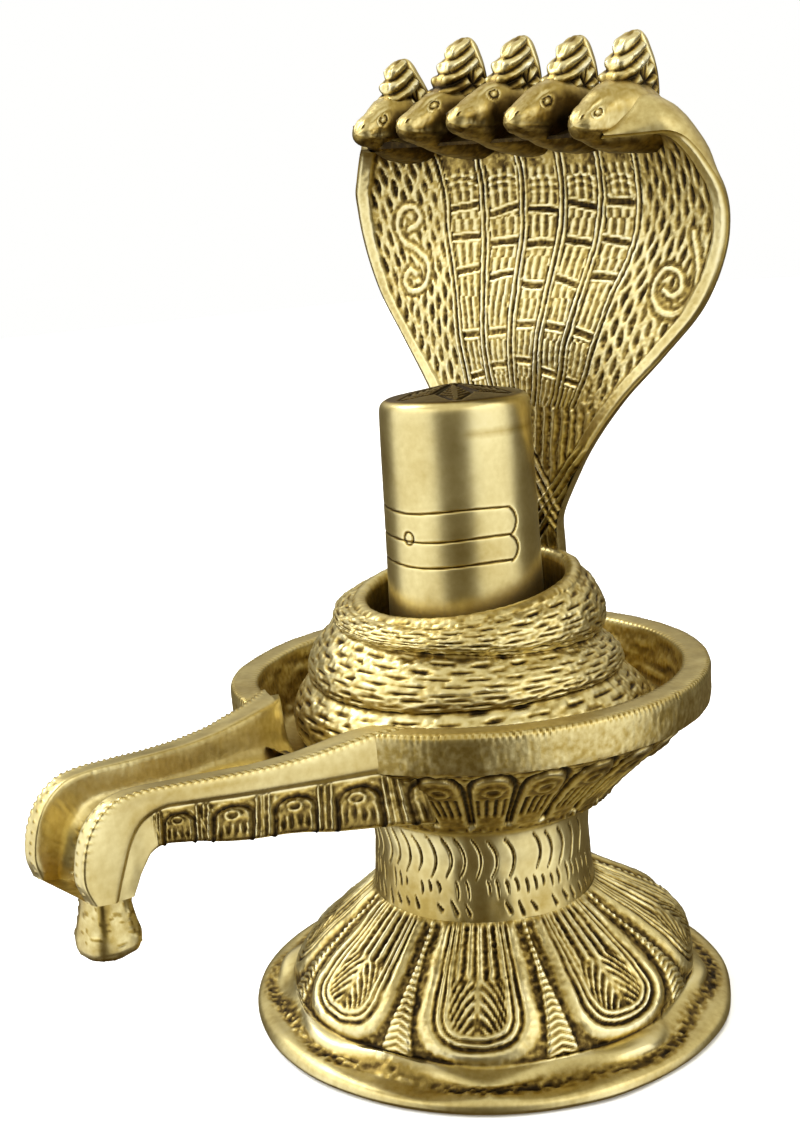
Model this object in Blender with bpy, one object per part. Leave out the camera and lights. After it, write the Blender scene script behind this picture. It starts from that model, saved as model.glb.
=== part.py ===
"""Brass shiva lingam: a yoni tray with a spout on a petalled foot, a five headed naga coiled on the tray and
the lingam pillar standing in the coil. The spout points to -Y, +Z is up and the ground is z = 0."""

import math

import bmesh
import bpy
import numpy as np
from mathutils import Matrix, Vector

MM = 0.001

# Driving sizes of the foot, neck and tray
FOOT_RADIUS = 42.0 * MM
FOOT_HEIGHT = 21.4 * MM
NECK_RADIUS = 19.2 * MM
NECK_HEIGHT = 15.2 * MM
TRAY_RADIUS = 40.5 * MM
TRAY_HEIGHT = 23.8 * MM
TRAY_DEPTH = 11.3 * MM
RIM_WIDTH = 4.4 * MM
PETALS = 8
PETAL_TURN = math.radians(39.5)
FULL_SIDE = math.radians(152)
WIDE_SIDE = math.radians(322)
ARCHES = 26
COLUMNS = 104
BASIN_COLUMNS = 44

# Driving sizes of the spout
SPOUT_REACH = 84.6 * MM
SPOUT_ROOT_WIDTH = 27.8 * MM
SPOUT_TIP_WIDTH = 16.0 * MM
RAIL_WIDTH = 3.2 * MM
STUB_WIDTH = 8.6 * MM
STUB_LENGTH = 12.5 * MM

# Driving sizes of the lingam
LINGAM_RADIUS = 13.7 * MM
LINGAM_HEIGHT = 59.2 * MM
LINGAM_COLUMNS = 36
LINE_WIDTH = 0.5 * MM
LINE_DEPTH = 0.35 * MM

# Driving sizes of the naga
COIL_CLEARANCE = 3.3 * MM
COIL_RADIUS = 32.0 * MM
COIL_HEIGHT = 26.0 * MM
COIL_COLUMNS = 48
HOOD_HEIGHT = 77.0 * MM
HOOD_HALF_WIDTH = 41.3 * MM
HOOD_BACK = 24.6 * MM
HOOD_THICKNESS = 3.6 * MM
HOOD_LEAN = math.radians(3.5)
HEADS = 5
HEAD_SPACING = 12.2 * MM
HEADS_SHIFT = 0.8 * MM
HEAD_LENGTH = 24.0 * MM
SNOUT_BACK = 2.2 * MM
CREST_THICKNESS = 5.2 * MM

# How far each crest is brought forward and let down, as shares of the head's length
CREST_SHIFTS = ((0.205, 0.100), (0.060, -0.012), (0.025, 0.020), (0.030, 0.066), (0.072, 0.080))

# The castings stand on each other with this much air between them
GAP = 0.3 * MM

# Heights that follow from the sizes above
NECK_TOP = FOOT_HEIGHT + NECK_HEIGHT
RIM_TOP = NECK_TOP + TRAY_HEIGHT
FLOOR = RIM_TOP - TRAY_DEPTH
SEAT = FLOOR + GAP
COIL_HOLE = LINGAM_RADIUS + COIL_CLEARANCE
COIL_TOP = SEAT + COIL_HEIGHT


# Clearing the scene

for old in list(bpy.data.objects):
    bpy.data.objects.remove(old, do_unlink=True)


# Helpers

def smooth(x):
    """0 below 0, 1 above 1 and an even curve between."""
    x = min(max(x, 0.0), 1.0)
    return x * x * (3.0 - 2.0 * x)


def bump(x):
    """1 at 0, falling evenly to 0 at -1 and at 1."""
    return smooth(1.0 - abs(x))


def follow(stations, x):
    """Value at x on a smooth curve through the stations, which are (x, value) pairs with rising x."""
    xs = [station[0] for station in stations]
    ys = [station[1] for station in stations]
    slopes = np.gradient(np.array(ys), np.array(xs))
    i = int(np.clip(np.searchsorted(xs, x) - 1, 0, len(xs) - 2))
    span = xs[i + 1] - xs[i]
    t = min(max((x - xs[i]) / span, 0.0), 1.0)
    rise = (ys[i + 1] - ys[i]) * t * t * (3.0 - 2.0 * t)
    start = slopes[i] * span * t * (1.0 - t) ** 2
    end = slopes[i + 1] * span * t * t * (t - 1.0)
    return float(ys[i] + rise + start + end)


def between(first, second, share):
    """The place between two (distance, height) pairs."""
    return tuple(a + share * (b - a) for a, b in zip(first, second))


def new_object(name, points, faces):
    """A mesh object with its normals facing out, made of triangles."""
    mesh = bpy.data.meshes.new(name)
    mesh.from_pydata([tuple(point) for point in points], [], faces)
    body = bmesh.new()
    body.from_mesh(mesh)
    bmesh.ops.remove_doubles(body, verts=body.verts, dist=1e-6)
    bmesh.ops.triangulate(body, faces=body.faces)
    bmesh.ops.recalc_face_normals(body, faces=body.faces)
    body.to_mesh(mesh)
    body.free()
    made = bpy.data.objects.new(name, mesh)
    bpy.context.scene.collection.objects.link(made)
    return made


def skin(name, rings):
    """A closed body through rings of points, with a flat face over the first ring and over the last."""
    count = len(rings[0])
    points = [point for ring in rings for point in ring]
    faces = []
    for j in range(len(rings) - 1):
        for i in range(count):
            k = (i + 1) % count
            faces.append((j * count + i, j * count + k, (j + 1) * count + k, (j + 1) * count + i))
    faces.append(tuple(reversed(range(count))))
    faces.append(tuple(range(len(points) - count, len(points))))
    return new_object(name, points, faces)


def mirrored(right):
    """A ring from its right half, which runs from the top to the bottom, and the same on the left."""
    return right + [(-x, y, z) for x, y, z in reversed(right)]


def polar(radius, azimuth, height):
    """A point at an azimuth measured from -Y towards +X."""
    return (radius * math.sin(azimuth), -radius * math.cos(azimuth), height)


def apply_boolean(body, other, operation):
    """Joins the other body to this one, or cuts it away, and removes the other."""
    modifier = body.modifiers.new(operation.lower(), "BOOLEAN")
    modifier.operation = operation
    modifier.solver = "EXACT"
    modifier.object = other
    other.hide_render = True
    other.display_type = "WIRE"
    graph = bpy.context.evaluated_depsgraph_get()
    graph.update()
    result = bpy.data.meshes.new_from_object(body.evaluated_get(graph))
    body.modifiers.clear()
    body.data = result
    bpy.data.objects.remove(other, do_unlink=True)


def finish(body, material, angle=35):
    """Gives the body its material and smooth shading with sharp edges above the angle."""
    body.data.materials.clear()
    body.data.materials.append(material)
    body.data.shade_smooth()
    body.data.set_sharp_from_angle(angle=math.radians(angle))


# Materials

def brass(name, colour, roughness):
    """A plain brass of one colour."""
    material = bpy.data.materials.new(name)
    material.use_nodes = True
    shader = material.node_tree.nodes["Principled BSDF"]
    shader.inputs["Base Color"].default_value = (*colour, 1.0)
    shader.inputs["Metallic"].default_value = 1.0
    shader.inputs["Roughness"].default_value = roughness
    return material


# Foot, neck and tray, turned in one profile with carving in its columns

def foot_rows():
    """Radius and height of the foot's profile as shares of its radius and height, with the carving on it."""
    return [
        (1.000, 0.00, "plain"),
        (1.000, 0.10, "plain"),
        (0.930, 0.12, "plain"),
        (0.880, 0.16, "lip"),
        (0.838, 0.21, "lip"),
        (0.810, 0.34, "petal"),
        (0.740, 0.51, "petal"),
        (0.625, 0.70, "petal"),
        (0.510, 0.90, "petal"),
    ]


def tray_rows():
    """Radius and height of the tray's outer profile as shares of its radius and height, with the carving."""
    return [
        (0.600, 0.13, "plain"),
        (0.635, 0.19, "arch"),
        (0.690, 0.30, "arch"),
        (0.755, 0.40, "arch"),
        (0.830, 0.50, "arch"),
        (0.900, 0.61, "plain"),
        (0.990, 0.74, "plain"),
        (1.000, 1.00, "plain"),
    ]


def petal_relief(azimuth, share):
    """Height of the petal carving: a ridge round each petal, a sunk field in it and a leaf between petals."""
    pitch = 2.0 * math.pi / PETALS
    phase = (azimuth - PETAL_TURN) / pitch
    across = abs(phase - round(phase)) * 2.0
    along = (share - 0.36) / (0.90 - 0.36)
    edge = 0.62 - 0.06 * along
    if along < 0.15:
        edge *= 0.86
    ridge = bump((across - edge) / 0.20)
    field = smooth((edge - across) / 0.22)
    vein = bump(across / 0.16) * smooth((along - 0.3) / 0.3)
    leaf = bump((across - 1.0) / 0.20)
    return (1.0 * ridge - 0.35 * field + 0.55 * vein + 0.6 * leaf) * MM


def arch_relief(azimuth, row):
    """Height of the arches under the tray: a rib between them, closing to a round head at the top."""
    phase = azimuth * ARCHES / (2.0 * math.pi)
    across = abs(phase - round(phase)) * 2.0
    head = {1: 0.0, 2: 0.0, 3: 0.25, 4: 1.0}[row]
    return (0.9 * max(bump(across / 0.55), head) - 0.4) * MM


def pedestal_rows():
    """The profile of the foot, neck and tray from the ground up: radius, height, carving and place in it."""
    rows = []
    for radius, height, carving in foot_rows():
        rows.append((radius * FOOT_RADIUS, height * FOOT_HEIGHT, carving, height))
    for radius, height in ((1.0, 0.0), (0.975, 0.6), (1.01, 1.0)):
        rows.append((radius * NECK_RADIUS, FOOT_HEIGHT + height * NECK_HEIGHT, "plain", height))
    for row, (radius, height, carving) in enumerate(tray_rows()):
        rows.append((radius * TRAY_RADIUS, NECK_TOP + height * TRAY_HEIGHT, carving, row))
    return rows


def carved_point(azimuth, radius, height, carving, place):
    """A point of the turned profile moved by its carving and by the casting's fuller sides."""
    if carving == "lip":
        radius += 0.012 * FOOT_RADIUS * math.cos(PETALS * (azimuth - PETAL_TURN))
    if carving == "petal":
        radius *= 1.0 + 0.16 * bump((azimuth - FULL_SIDE) / math.radians(75)) * math.sin(math.pi * place)
        lift = petal_relief(azimuth, place)
        radius += 0.6 * lift
        height += 0.8 * lift
    if height > NECK_TOP:
        radius *= 1.0 + 0.03 * bump((azimuth - WIDE_SIDE) / math.radians(32))
    if carving == "arch":
        lift = arch_relief(azimuth, place)
        radius += 0.7 * lift
        height -= 0.7 * lift
    return polar(radius, azimuth, height)


def pedestal_body():
    """The turned body of foot, neck and tray with its petals and arches."""
    rings = []
    for row in pedestal_rows():
        rings.append([carved_point(2.0 * math.pi * i / COLUMNS, *row) for i in range(COLUMNS)])
    return skin("yoni_pedestal", rings)


def tray_hollow():
    """The basin of the tray: a flat floor, a curved foot to the wall and a wall leaning out to the rim."""
    opening = TRAY_RADIUS - RIM_WIDTH
    profile = [
        (0.845 * opening, FLOOR),
        (0.915 * opening, FLOOR + 0.05 * TRAY_DEPTH),
        (0.965 * opening, FLOOR + 0.28 * TRAY_DEPTH),
        (opening, RIM_TOP),
        (1.01 * opening, RIM_TOP + 0.25 * TRAY_DEPTH),
    ]
    rings = []
    for radius, height in profile:
        rings.append([polar(radius, 2.0 * math.pi * i / BASIN_COLUMNS, height) for i in range(BASIN_COLUMNS)])
    return skin("tray_hollow", rings)


# Spout, a channel between two rails that bends down at its tip

def spout_stations():
    """Along the spout from inside the tray to the tip: the rail's top line, its lower edge, the underside and
    the channel's floor, each as a share of the spout's reach and a height over the rim's top as a share of
    the tray's height. The last value is where the width stands from root (0) to tip (1)."""
    return [
        ((0.330, -0.025), (0.330, -0.227), (0.330, -0.714), (0.330, -0.475), 0.00),
        ((0.430, -0.034), (0.430, -0.218), (0.430, -0.664), (0.430, -0.412), 0.00),
        ((0.510, -0.050), (0.510, -0.210), (0.510, -0.605), (0.510, -0.370), 0.08),
        ((0.600, -0.050), (0.600, -0.185), (0.600, -0.529), (0.600, -0.328), 0.30),
        ((0.700, -0.029), (0.700, -0.147), (0.700, -0.475), (0.700, -0.294), 0.55),
        ((0.800, 0.004), (0.800, -0.101), (0.780, -0.399), (0.795, -0.252), 0.76),
        ((0.880, 0.029), (0.850, -0.092), (0.840, -0.349), (0.865, -0.227), 0.90),
        ((0.935, 0.008), (0.885, -0.134), (0.864, -0.378), (0.900, -0.252), 0.97),
        ((0.975, -0.101), (0.908, -0.227), (0.878, -0.437), (0.920, -0.319), 1.00),
        ((0.995, -0.252), (0.922, -0.345), (0.888, -0.487), (0.930, -0.403), 1.00),
        ((1.000, -0.412), (0.936, -0.462), (0.897, -0.538), (0.938, -0.496), 0.98),
        ((0.988, -0.538), (0.950, -0.563), (0.908, -0.580), (0.945, -0.567), 0.92),
    ]


def spout_half_width(share):
    """Half the spout's width between its root (0) and its tip (1)."""
    return 0.5 * (SPOUT_ROOT_WIDTH + share * (SPOUT_TIP_WIDTH - SPOUT_ROOT_WIDTH))


def channel_half_width(share):
    """Half the channel's width between the spout's root (0) and its tip (1)."""
    root = 0.5 * SPOUT_ROOT_WIDTH - 1.5 * RAIL_WIDTH
    tip = 0.5 * SPOUT_TIP_WIDTH - RAIL_WIDTH
    return root + share * (tip - root)


def spout_point(x, line):
    """A point of the spout from its x and its distance out and height as shares."""
    out, height = line
    return (x, -out * SPOUT_REACH, RIM_TOP + height * TRAY_HEIGHT)


def spout_body():
    """The spout's solid body with its rails' outer edges."""
    rings = []
    for top, band, under, _, share in spout_stations():
        w = spout_half_width(share)
        rings.append(mirrored([
            spout_point(0.97 * w, top),
            spout_point(w, between(top, band, 0.4)),
            spout_point(w, band),
            spout_point(0.93 * w, between(band, under, 0.15)),
            spout_point(0.90 * w, between(band, under, 0.9)),
            spout_point(0.82 * w, under),
        ]))
    return skin("spout_body", rings)


def spout_channel():
    """The cutter of the channel: it opens the tray's wall, runs along the spout and down its tip."""
    rings = []
    for top, _, _, floor, share in spout_stations()[1:]:
        w = channel_half_width(share)
        rings.append(mirrored([
            spout_point(1.06 * w, between(top, floor, -0.6)),
            spout_point(w, between(top, floor, 0.65)),
            spout_point(0.62 * w, floor),
        ]))
    flared = [(1.25 * x, y + 0.06 * SPOUT_REACH, z) for x, y, z in rings[0]]
    dropped = [(x, y, z - 0.17 * TRAY_HEIGHT) for x, y, z in rings[-1]]
    return skin("spout_channel", [flared] + rings + [dropped])


def drop_stub():
    """The knob under the spout's tip, waisted at its top and rounded at its end."""
    top = RIM_TOP - 0.504 * TRAY_HEIGHT
    centre = -0.912 * SPOUT_REACH
    rings = []
    for share, size in ((0.0, 0.82), (0.35, 0.76), (0.62, 0.94), (0.86, 1.03), (0.96, 0.93), (1.0, 0.66)):
        ring = []
        for i in range(12):
            angle = 2.0 * math.pi * (i + 0.5) / 12
            x = 0.5 * STUB_WIDTH * size * math.copysign(abs(math.sin(angle)) ** 0.6, math.sin(angle))
            y = 0.5 * STUB_WIDTH * size * math.copysign(abs(math.cos(angle)) ** 0.6, math.cos(angle))
            ring.append((x, centre + y, top - share * STUB_LENGTH))
        rings.append(ring)
    return skin("drop_stub", rings)


def build_pedestal():
    """Foot, neck, tray, spout and knob as one casting."""
    body = pedestal_body()
    apply_boolean(body, spout_body(), "UNION")
    apply_boolean(body, tray_hollow(), "DIFFERENCE")
    apply_boolean(body, spout_channel(), "DIFFERENCE")
    apply_boolean(body, drop_stub(), "UNION")
    finish(body, brass("brass_pedestal", (0.62, 0.46, 0.20), 0.38))


# Lingam

def lingam_rows():
    """Radius share, height and whether the row is cut in by an engraved line."""
    rows = [(0.97, 0.0, False), (1.0, 0.012 * LINGAM_HEIGHT, False)]
    for centre in (0.514, 0.586, 0.666):
        height = centre * LINGAM_HEIGHT
        share = 1.0 - 0.070 * centre
        rows.append((share, height - 0.5 * LINE_WIDTH, False))
        rows.append((share, height, True))
        rows.append((share, height + 0.5 * LINE_WIDTH, False))
    for share, height in ((0.930, 0.945), (0.905, 0.958), (0.830, 0.968), (0.090, 1.000)):
        rows.append((share, height * LINGAM_HEIGHT, False))
    return rows


def build_lingam():
    """The pillar with its low cone and its engraved lines, which stop at the sides."""
    rings = []
    for share, height, line in lingam_rows():
        ring = []
        for i in range(LINGAM_COLUMNS):
            azimuth = 2.0 * math.pi * (i + 0.5) / LINGAM_COLUMNS
            front = math.cos(azimuth) > math.cos(math.radians(92))
            cut = LINE_DEPTH if line and front else 0.0
            ring.append(polar(share * LINGAM_RADIUS - cut, azimuth, SEAT + height))
        rings.append(ring)
    body = skin("lingam", rings)
    finish(body, brass("brass_lingam", (0.70, 0.55, 0.28), 0.32))


# Naga: coil

def coil_lap(turns):
    """Height share and radius share of the crease between one turn of the snake and the next, as it winds
    up from the tail; turns are counted from the back."""
    height = follow([(0.0, 0.34), (0.25, 0.41), (0.5, 0.385), (0.75, 0.45), (1.0, 0.545), (1.25, 0.64),
                     (1.5, 0.735), (1.75, 0.83), (2.0, 0.91), (2.3, 0.93), (3.0, 1.0)], turns)
    radius = follow([(0.0, 0.79), (0.25, 0.82), (0.5, 0.87), (0.8, 0.83), (1.0, 0.74), (1.25, 0.69),
                     (1.5, 0.70), (2.0, 0.64), (3.0, 0.61)], turns)
    return height, radius


def coil_outline(azimuth):
    """Radius and height round a section of the coil: from the foot of its hole out under its base, up over
    its three turns and back to the hole."""
    lap = ((math.pi - azimuth) / (2.0 * math.pi)) % 1.0
    first = coil_lap(lap)
    second = coil_lap(lap + 1.0)
    crest = 0.88 + 0.20 * math.cos(0.5 * (azimuth - math.pi)) ** 2
    outline = [(COIL_HOLE, 0.0), (0.925 * COIL_RADIUS, 0.0)]
    turns = (((0.0, 0.93), first, 0.080), (first, second, 0.040), (second, (crest - 0.02, 0.60), 0.070))
    for low, high, bulge in turns:
        for t in (0.3, 0.75, 1.0):
            height = low[0] + (high[0] - low[0]) * t
            side = low[1] + (high[1] - low[1]) * t ** 1.6
            side += bulge * math.sin(math.pi * min(t * 1.15, 1.0)) ** 0.7
            outline.append((side * COIL_RADIUS, height * COIL_HEIGHT))
    outline.append((1.05 * COIL_HOLE, crest * COIL_HEIGHT))
    outline.append((COIL_HOLE, (crest - 0.04) * COIL_HEIGHT))
    return outline


def coil_body():
    """The coiled part of the snake, as a ring round the lingam."""
    sections = []
    for i in range(COIL_COLUMNS):
        azimuth = 2.0 * math.pi * i / COIL_COLUMNS
        sections.append([polar(radius, azimuth, SEAT + height) for radius, height in coil_outline(azimuth)])
    count = len(sections[0])
    points = [point for section in sections for point in section]
    faces = []
    for j in range(COIL_COLUMNS):
        n = (j + 1) % COIL_COLUMNS
        for i in range(count):
            k = (i + 1) % count
            faces.append((j * count + i, j * count + k, n * count + k, n * count + i))
    return new_object("naga", points, faces)


# Naga: stem and hood

def hood_stations():
    """Up the hood from inside the coil to the front edge of its canopy, all as shares: the half width, then
    the height and the distance behind the lingam's axis, first of the centre and then of the edge."""
    return [
        (0.205, (-0.134, 0.813), (-0.134, 0.813)),
        (0.210, (0.040, 0.740), (0.040, 0.715)),
        (0.222, (0.098, 0.715), (0.098, 0.683)),
        (0.250, (0.134, 0.724), (0.134, 0.671)),
        (0.325, (0.215, 0.748), (0.215, 0.671)),
        (0.465, (0.330, 0.776), (0.330, 0.683)),
        (0.560, (0.395, 0.776), (0.395, 0.707)),
        (0.733, (0.496, 0.776), (0.496, 0.764)),
        (0.898, (0.603, 0.854), (0.603, 0.801)),
        (0.953, (0.663, 0.915), (0.663, 0.801)),
        (0.996, (0.744, 0.984), (0.744, 0.785)),
        (1.000, (0.804, 1.000), (0.804, 0.752)),
        (0.987, (0.850, 0.996), (0.840, 0.715)),
        (0.955, (0.892, 0.972), (0.873, 0.683)),
        (0.915, (0.928, 0.927), (0.908, 0.642)),
        (0.870, (0.948, 0.829), (0.935, 0.593)),
        (0.830, (0.950, 0.724), (0.945, 0.545)),
        (0.790, (0.948, 0.626), (0.945, 0.488)),
        (0.730, (0.944, 0.520), (0.942, 0.390)),
        (0.670, (0.940, 0.420), (0.940, 0.290)),
    ]


def hood_front(across, station):
    """A point on the hood's front, with across from -1 to 1."""
    width, centre, edge = station
    height, behind = between(centre, edge, across * across)
    return Vector((across * width * HOOD_HALF_WIDTH, behind * HOOD_BACK, COIL_TOP + height * HOOD_HEIGHT))


def hood_normal(across, row):
    """The direction out of the hood's back."""
    stations = hood_stations()
    before = hood_front(across, stations[max(row - 1, 0)])
    after = hood_front(across, stations[min(row + 1, len(stations) - 1)])
    return Vector((0.0, after.z - before.z, before.y - after.y)).normalized()


def hood_relief(across, row):
    """Five scaled columns down the middle, parted by ribs, and a raised rim at both edges."""
    columns = 5
    if abs(across) < 0.58:
        phase = (across / 0.58 + 1.0) * 0.5 * columns
        rib = bump((phase - round(phase)) / 0.22)
        step = 0.25 if row % 2 else 0.0
        return (0.55 * rib + step) * MM
    if abs(across) > 0.93:
        return 0.7 * MM
    return 0.0


def across_values():
    """Where the hood's front is sampled: on each rib and both its flanks, and over the side fields."""
    values = []
    for i in range(6):
        rib = -0.58 + 1.16 * i / 5
        values += [rib - 0.05, rib, rib + 0.05]
    return [-1.0, -0.94, -0.90, -0.75] + values + [0.75, 0.90, 0.94, 1.0]


def hood_body():
    """The stem, the hood and its canopy, front and back."""
    rings = []
    for row, station in enumerate(hood_stations()):
        ring = []
        for across in across_values():
            lift = hood_relief(across, row) if 4 < row < 14 else 0.0
            ring.append(hood_front(across, station) - hood_normal(across, row) * lift)
        for across in (1.0, 0.85, 0.6, 0.3, 0.0, -0.3, -0.6, -0.85, -1.0):
            thick = HOOD_THICKNESS * (1.0 + 0.4 * (1.0 - across * across))
            thinner = 1.0 - 0.6 * smooth((row - 14) / 4.0)
            ring.append(hood_front(across, station) + hood_normal(across, row) * thick * thinner)
        rings.append(ring)
    return skin("hood_body", rings)


# Naga: heads

def head_sections():
    """Sections of a head from the snout's tip back into the hood, as shares of its length: the distance from
    the tip, the lower and the upper height over the heads' line, and the half width."""
    return [
        (0.000, -0.092, 0.000, 0.054),
        (0.033, -0.133, 0.050, 0.108),
        (0.142, -0.167, 0.108, 0.146),
        (0.283, -0.200, 0.183, 0.179),
        (0.429, -0.225, 0.225, 0.204),
        (0.658, -0.242, 0.225, 0.225),
        (0.867, -0.240, 0.167, 0.233),
        (0.990, -0.220, 0.020, 0.225),
    ]


def head_point(x, out, up):
    """A point behind the snouts' tips and over the heads' line, both as shares of a head's length."""
    heads_line = COIL_TOP + 0.985 * HOOD_HEIGHT
    return (x, SNOUT_BACK + out * HEAD_LENGTH, heads_line + up * HEAD_LENGTH)


def head_body(x, shorter, outer_side):
    """A head; the outermost ones are shorter and widen on their outer side, given by its sign."""
    rings = []
    for out, low, high, half in head_sections():
        flare = 0.08 * smooth((out - 0.20) / 0.40) * smooth((1.10 - out) / 0.35)
        ring = []
        for i in range(8):
            angle = 2.0 * math.pi * (i + 0.5) / 8
            side = half * math.copysign(abs(math.sin(angle)) ** 0.8, math.sin(angle))
            if side * outer_side > 0.0:
                side *= 1.0 + flare / half
            up = math.copysign(abs(math.cos(angle)) ** 0.8, math.cos(angle))
            height = 0.5 * (low + high) + 0.5 * (high - low) * up
            ring.append(head_point(x + side * HEAD_LENGTH, shorter + out * (1.0 - 3.0 * shorter), height))
        rings.append(ring)
    return skin("head_body", rings)


def crest_outline():
    """The crest from its root on the skull to its tip over the hood, as shares of the head's length."""
    return [(0.380, 0.170), (0.455, 0.275), (0.560, 0.430), (0.680, 0.565), (0.775, 0.617), (0.855, 0.575),
            (0.900, 0.440), (0.908, 0.167), (0.617, 0.083)]


def crest_body(x, forward, drop):
    """The flame shaped crest over a head, thick in its middle."""
    middle = (0.679, 0.271)
    rings = []
    for side, share in ((-0.50, 0.68), (-0.12, 1.0), (0.12, 1.0), (0.50, 0.68)):
        ring = []
        for place in crest_outline():
            out, up = between(middle, place, share)
            swept = forward * (0.3 + 0.7 * smooth((up - 0.2) / 0.4))
            ring.append(head_point(x + side * CREST_THICKNESS, out - swept, up - drop))
        rings.append(ring)
    return skin("crest_body", rings)


def lean(body):
    """Leans the hood to its right about the middle of its height."""
    pivot = Vector((0.0, 0.0, COIL_TOP + 0.60 * HOOD_HEIGHT))
    turn = Matrix.Translation(pivot) @ Matrix.Rotation(HOOD_LEAN, 4, "Y") @ Matrix.Translation(-pivot)
    body.data.transform(turn)
    return body


def build_naga():
    """Coil, hood, heads and crests as one casting; the outer heads are a little shorter."""
    body = coil_body()
    hood = hood_body()
    middle = 0.5 * (HEADS - 1)
    for i in range(HEADS):
        x = (i - middle) * HEAD_SPACING - HEADS_SHIFT
        shorter = 0.017 * (i - middle) ** 2
        outer_side = {0: -1.0, HEADS - 1: 1.0}.get(i, 0.0)
        apply_boolean(hood, head_body(x, shorter, outer_side), "UNION")
        apply_boolean(hood, crest_body(x, *CREST_SHIFTS[i]), "UNION")
    apply_boolean(body, lean(hood), "UNION")
    finish(body, brass("brass_naga", (0.60, 0.44, 0.18), 0.40))


build_pedestal()
build_lingam()
build_naga()
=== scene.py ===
"""Looks of the brass shiva lingam: each casting again as fine surfaces with its carving, punch marks and
aged brass, on a pale floor in soft studio light. Lengths are metres, +Z is up and the spout points to -Y."""

import math

import bpy
import numpy as np
from mathutils import Matrix, Vector


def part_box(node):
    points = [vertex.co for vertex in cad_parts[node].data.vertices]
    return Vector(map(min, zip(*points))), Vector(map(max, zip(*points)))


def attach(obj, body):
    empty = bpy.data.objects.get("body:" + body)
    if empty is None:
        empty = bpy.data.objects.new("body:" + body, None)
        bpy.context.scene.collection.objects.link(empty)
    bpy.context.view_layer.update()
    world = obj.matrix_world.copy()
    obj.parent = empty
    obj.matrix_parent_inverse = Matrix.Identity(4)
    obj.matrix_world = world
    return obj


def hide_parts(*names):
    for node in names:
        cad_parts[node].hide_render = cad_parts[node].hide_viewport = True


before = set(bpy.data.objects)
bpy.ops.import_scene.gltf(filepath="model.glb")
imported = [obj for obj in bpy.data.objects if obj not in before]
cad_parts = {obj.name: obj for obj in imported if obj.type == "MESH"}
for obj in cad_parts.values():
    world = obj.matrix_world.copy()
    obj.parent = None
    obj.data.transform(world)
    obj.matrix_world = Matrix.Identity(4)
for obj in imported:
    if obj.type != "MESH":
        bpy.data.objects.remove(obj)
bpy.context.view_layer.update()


# Sizes, all from the frame: the foot's radius gives the millimetre of this object

pedestal_low, pedestal_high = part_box("yoni_pedestal")
naga_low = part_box("naga")[0]
lingam_low, lingam_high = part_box("lingam")

FULL_TURN = 2.0 * math.pi
FOOT = pedestal_high.x
MM = FOOT / 42.0
RIM_TOP = 60.4 * MM
NECK_TOP = 36.6 * MM
TRAY_WIDENING = 0.03
TRAY_WIDE_TURN = math.radians(322.0)
TRAY_WIDE_SPAN = math.radians(32.0)
REACH = -pedestal_low.y
SPOUT_ROOT = 27.8 * MM
SPOUT_TIP = 16.0 * MM
CHANNEL_ROOT = 9.1 * MM
CHANNEL_TIP = 4.8 * MM
KNOB = 4.3 * MM
KNOB_TOP = RIM_TOP - 12.0 * MM
KNOB_HEIGHT = 12.5 * MM
SEAT = naga_low.z
PILLAR = lingam_high.x
PILLAR_TOP = lingam_high.z
COIL = 32.0 * MM
COIL_HEIGHT = 26.0 * MM
COIL_TOP = SEAT + COIL_HEIGHT
COIL_HOLE = PILLAR + 3.3 * MM
HOOD_HEIGHT = 77.0 * MM
HOOD_HALF = 41.3 * MM
HOOD_THICK = 3.6 * MM
HOOD_LEAN = math.radians(3.5)
HEADS = 5
HEAD_SPACING = 12.2 * MM
HEAD_LENGTH = 24.0 * MM
HEADS_LINE = COIL_TOP + 0.985 * HOOD_HEIGHT
SNOUT_BACK = 2.2 * MM
PETALS = 8
PETAL_TURN = math.radians(39.5)
ARCHES = 26
ARCH_TURN = math.radians(6.0)
PATINA_DEPTH = 0.5 * MM
SLOTS = {"yoni_pedestal": "brass_pedestal", "naga": "brass_naga", "lingam": "brass_lingam"}


# Shaping helpers, all for arrays

def smooth(x):
    """0 below 0, 1 above 1 and an even curve between."""
    x = np.clip(x, 0.0, 1.0)
    return x * x * (3.0 - 2.0 * x)


def bump(x):
    """1 at 0, falling evenly to 0 at -1 and at 1."""
    return smooth(1.0 - np.abs(x))


def signed_power(x, power):
    """A power of the size of x that keeps the sign of x."""
    return np.sign(x) * np.abs(x) ** power


def rounded(x, y, power):
    """A distance from 0 whose even lines are boxes with rounded corners; x and y are 0 or more."""
    return (x ** power + y ** power) ** (1.0 / power)


def away_from(turn, middle=0.0):
    """The angle of each turn from the middle, the short way round."""
    return np.mod(turn - middle + math.pi, FULL_TURN) - math.pi


def curve(stations, x):
    """Values at x on a smooth curve through the stations, which are (x, value) pairs with rising x."""
    xs, ys = np.array(stations, float).T
    slopes = np.gradient(ys, xs)
    x = np.clip(x, xs[0], xs[-1])
    i = np.clip(np.searchsorted(xs, x, side="right") - 1, 0, len(xs) - 2)
    span = xs[i + 1] - xs[i]
    t = (x - xs[i]) / span
    level = ys[i] * (1.0 - t * t * (3.0 - 2.0 * t)) + ys[i + 1] * t * t * (3.0 - 2.0 * t)
    return level + span * t * (1.0 - t) * (slopes[i] * (1.0 - t) - slopes[i + 1] * t)


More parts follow.
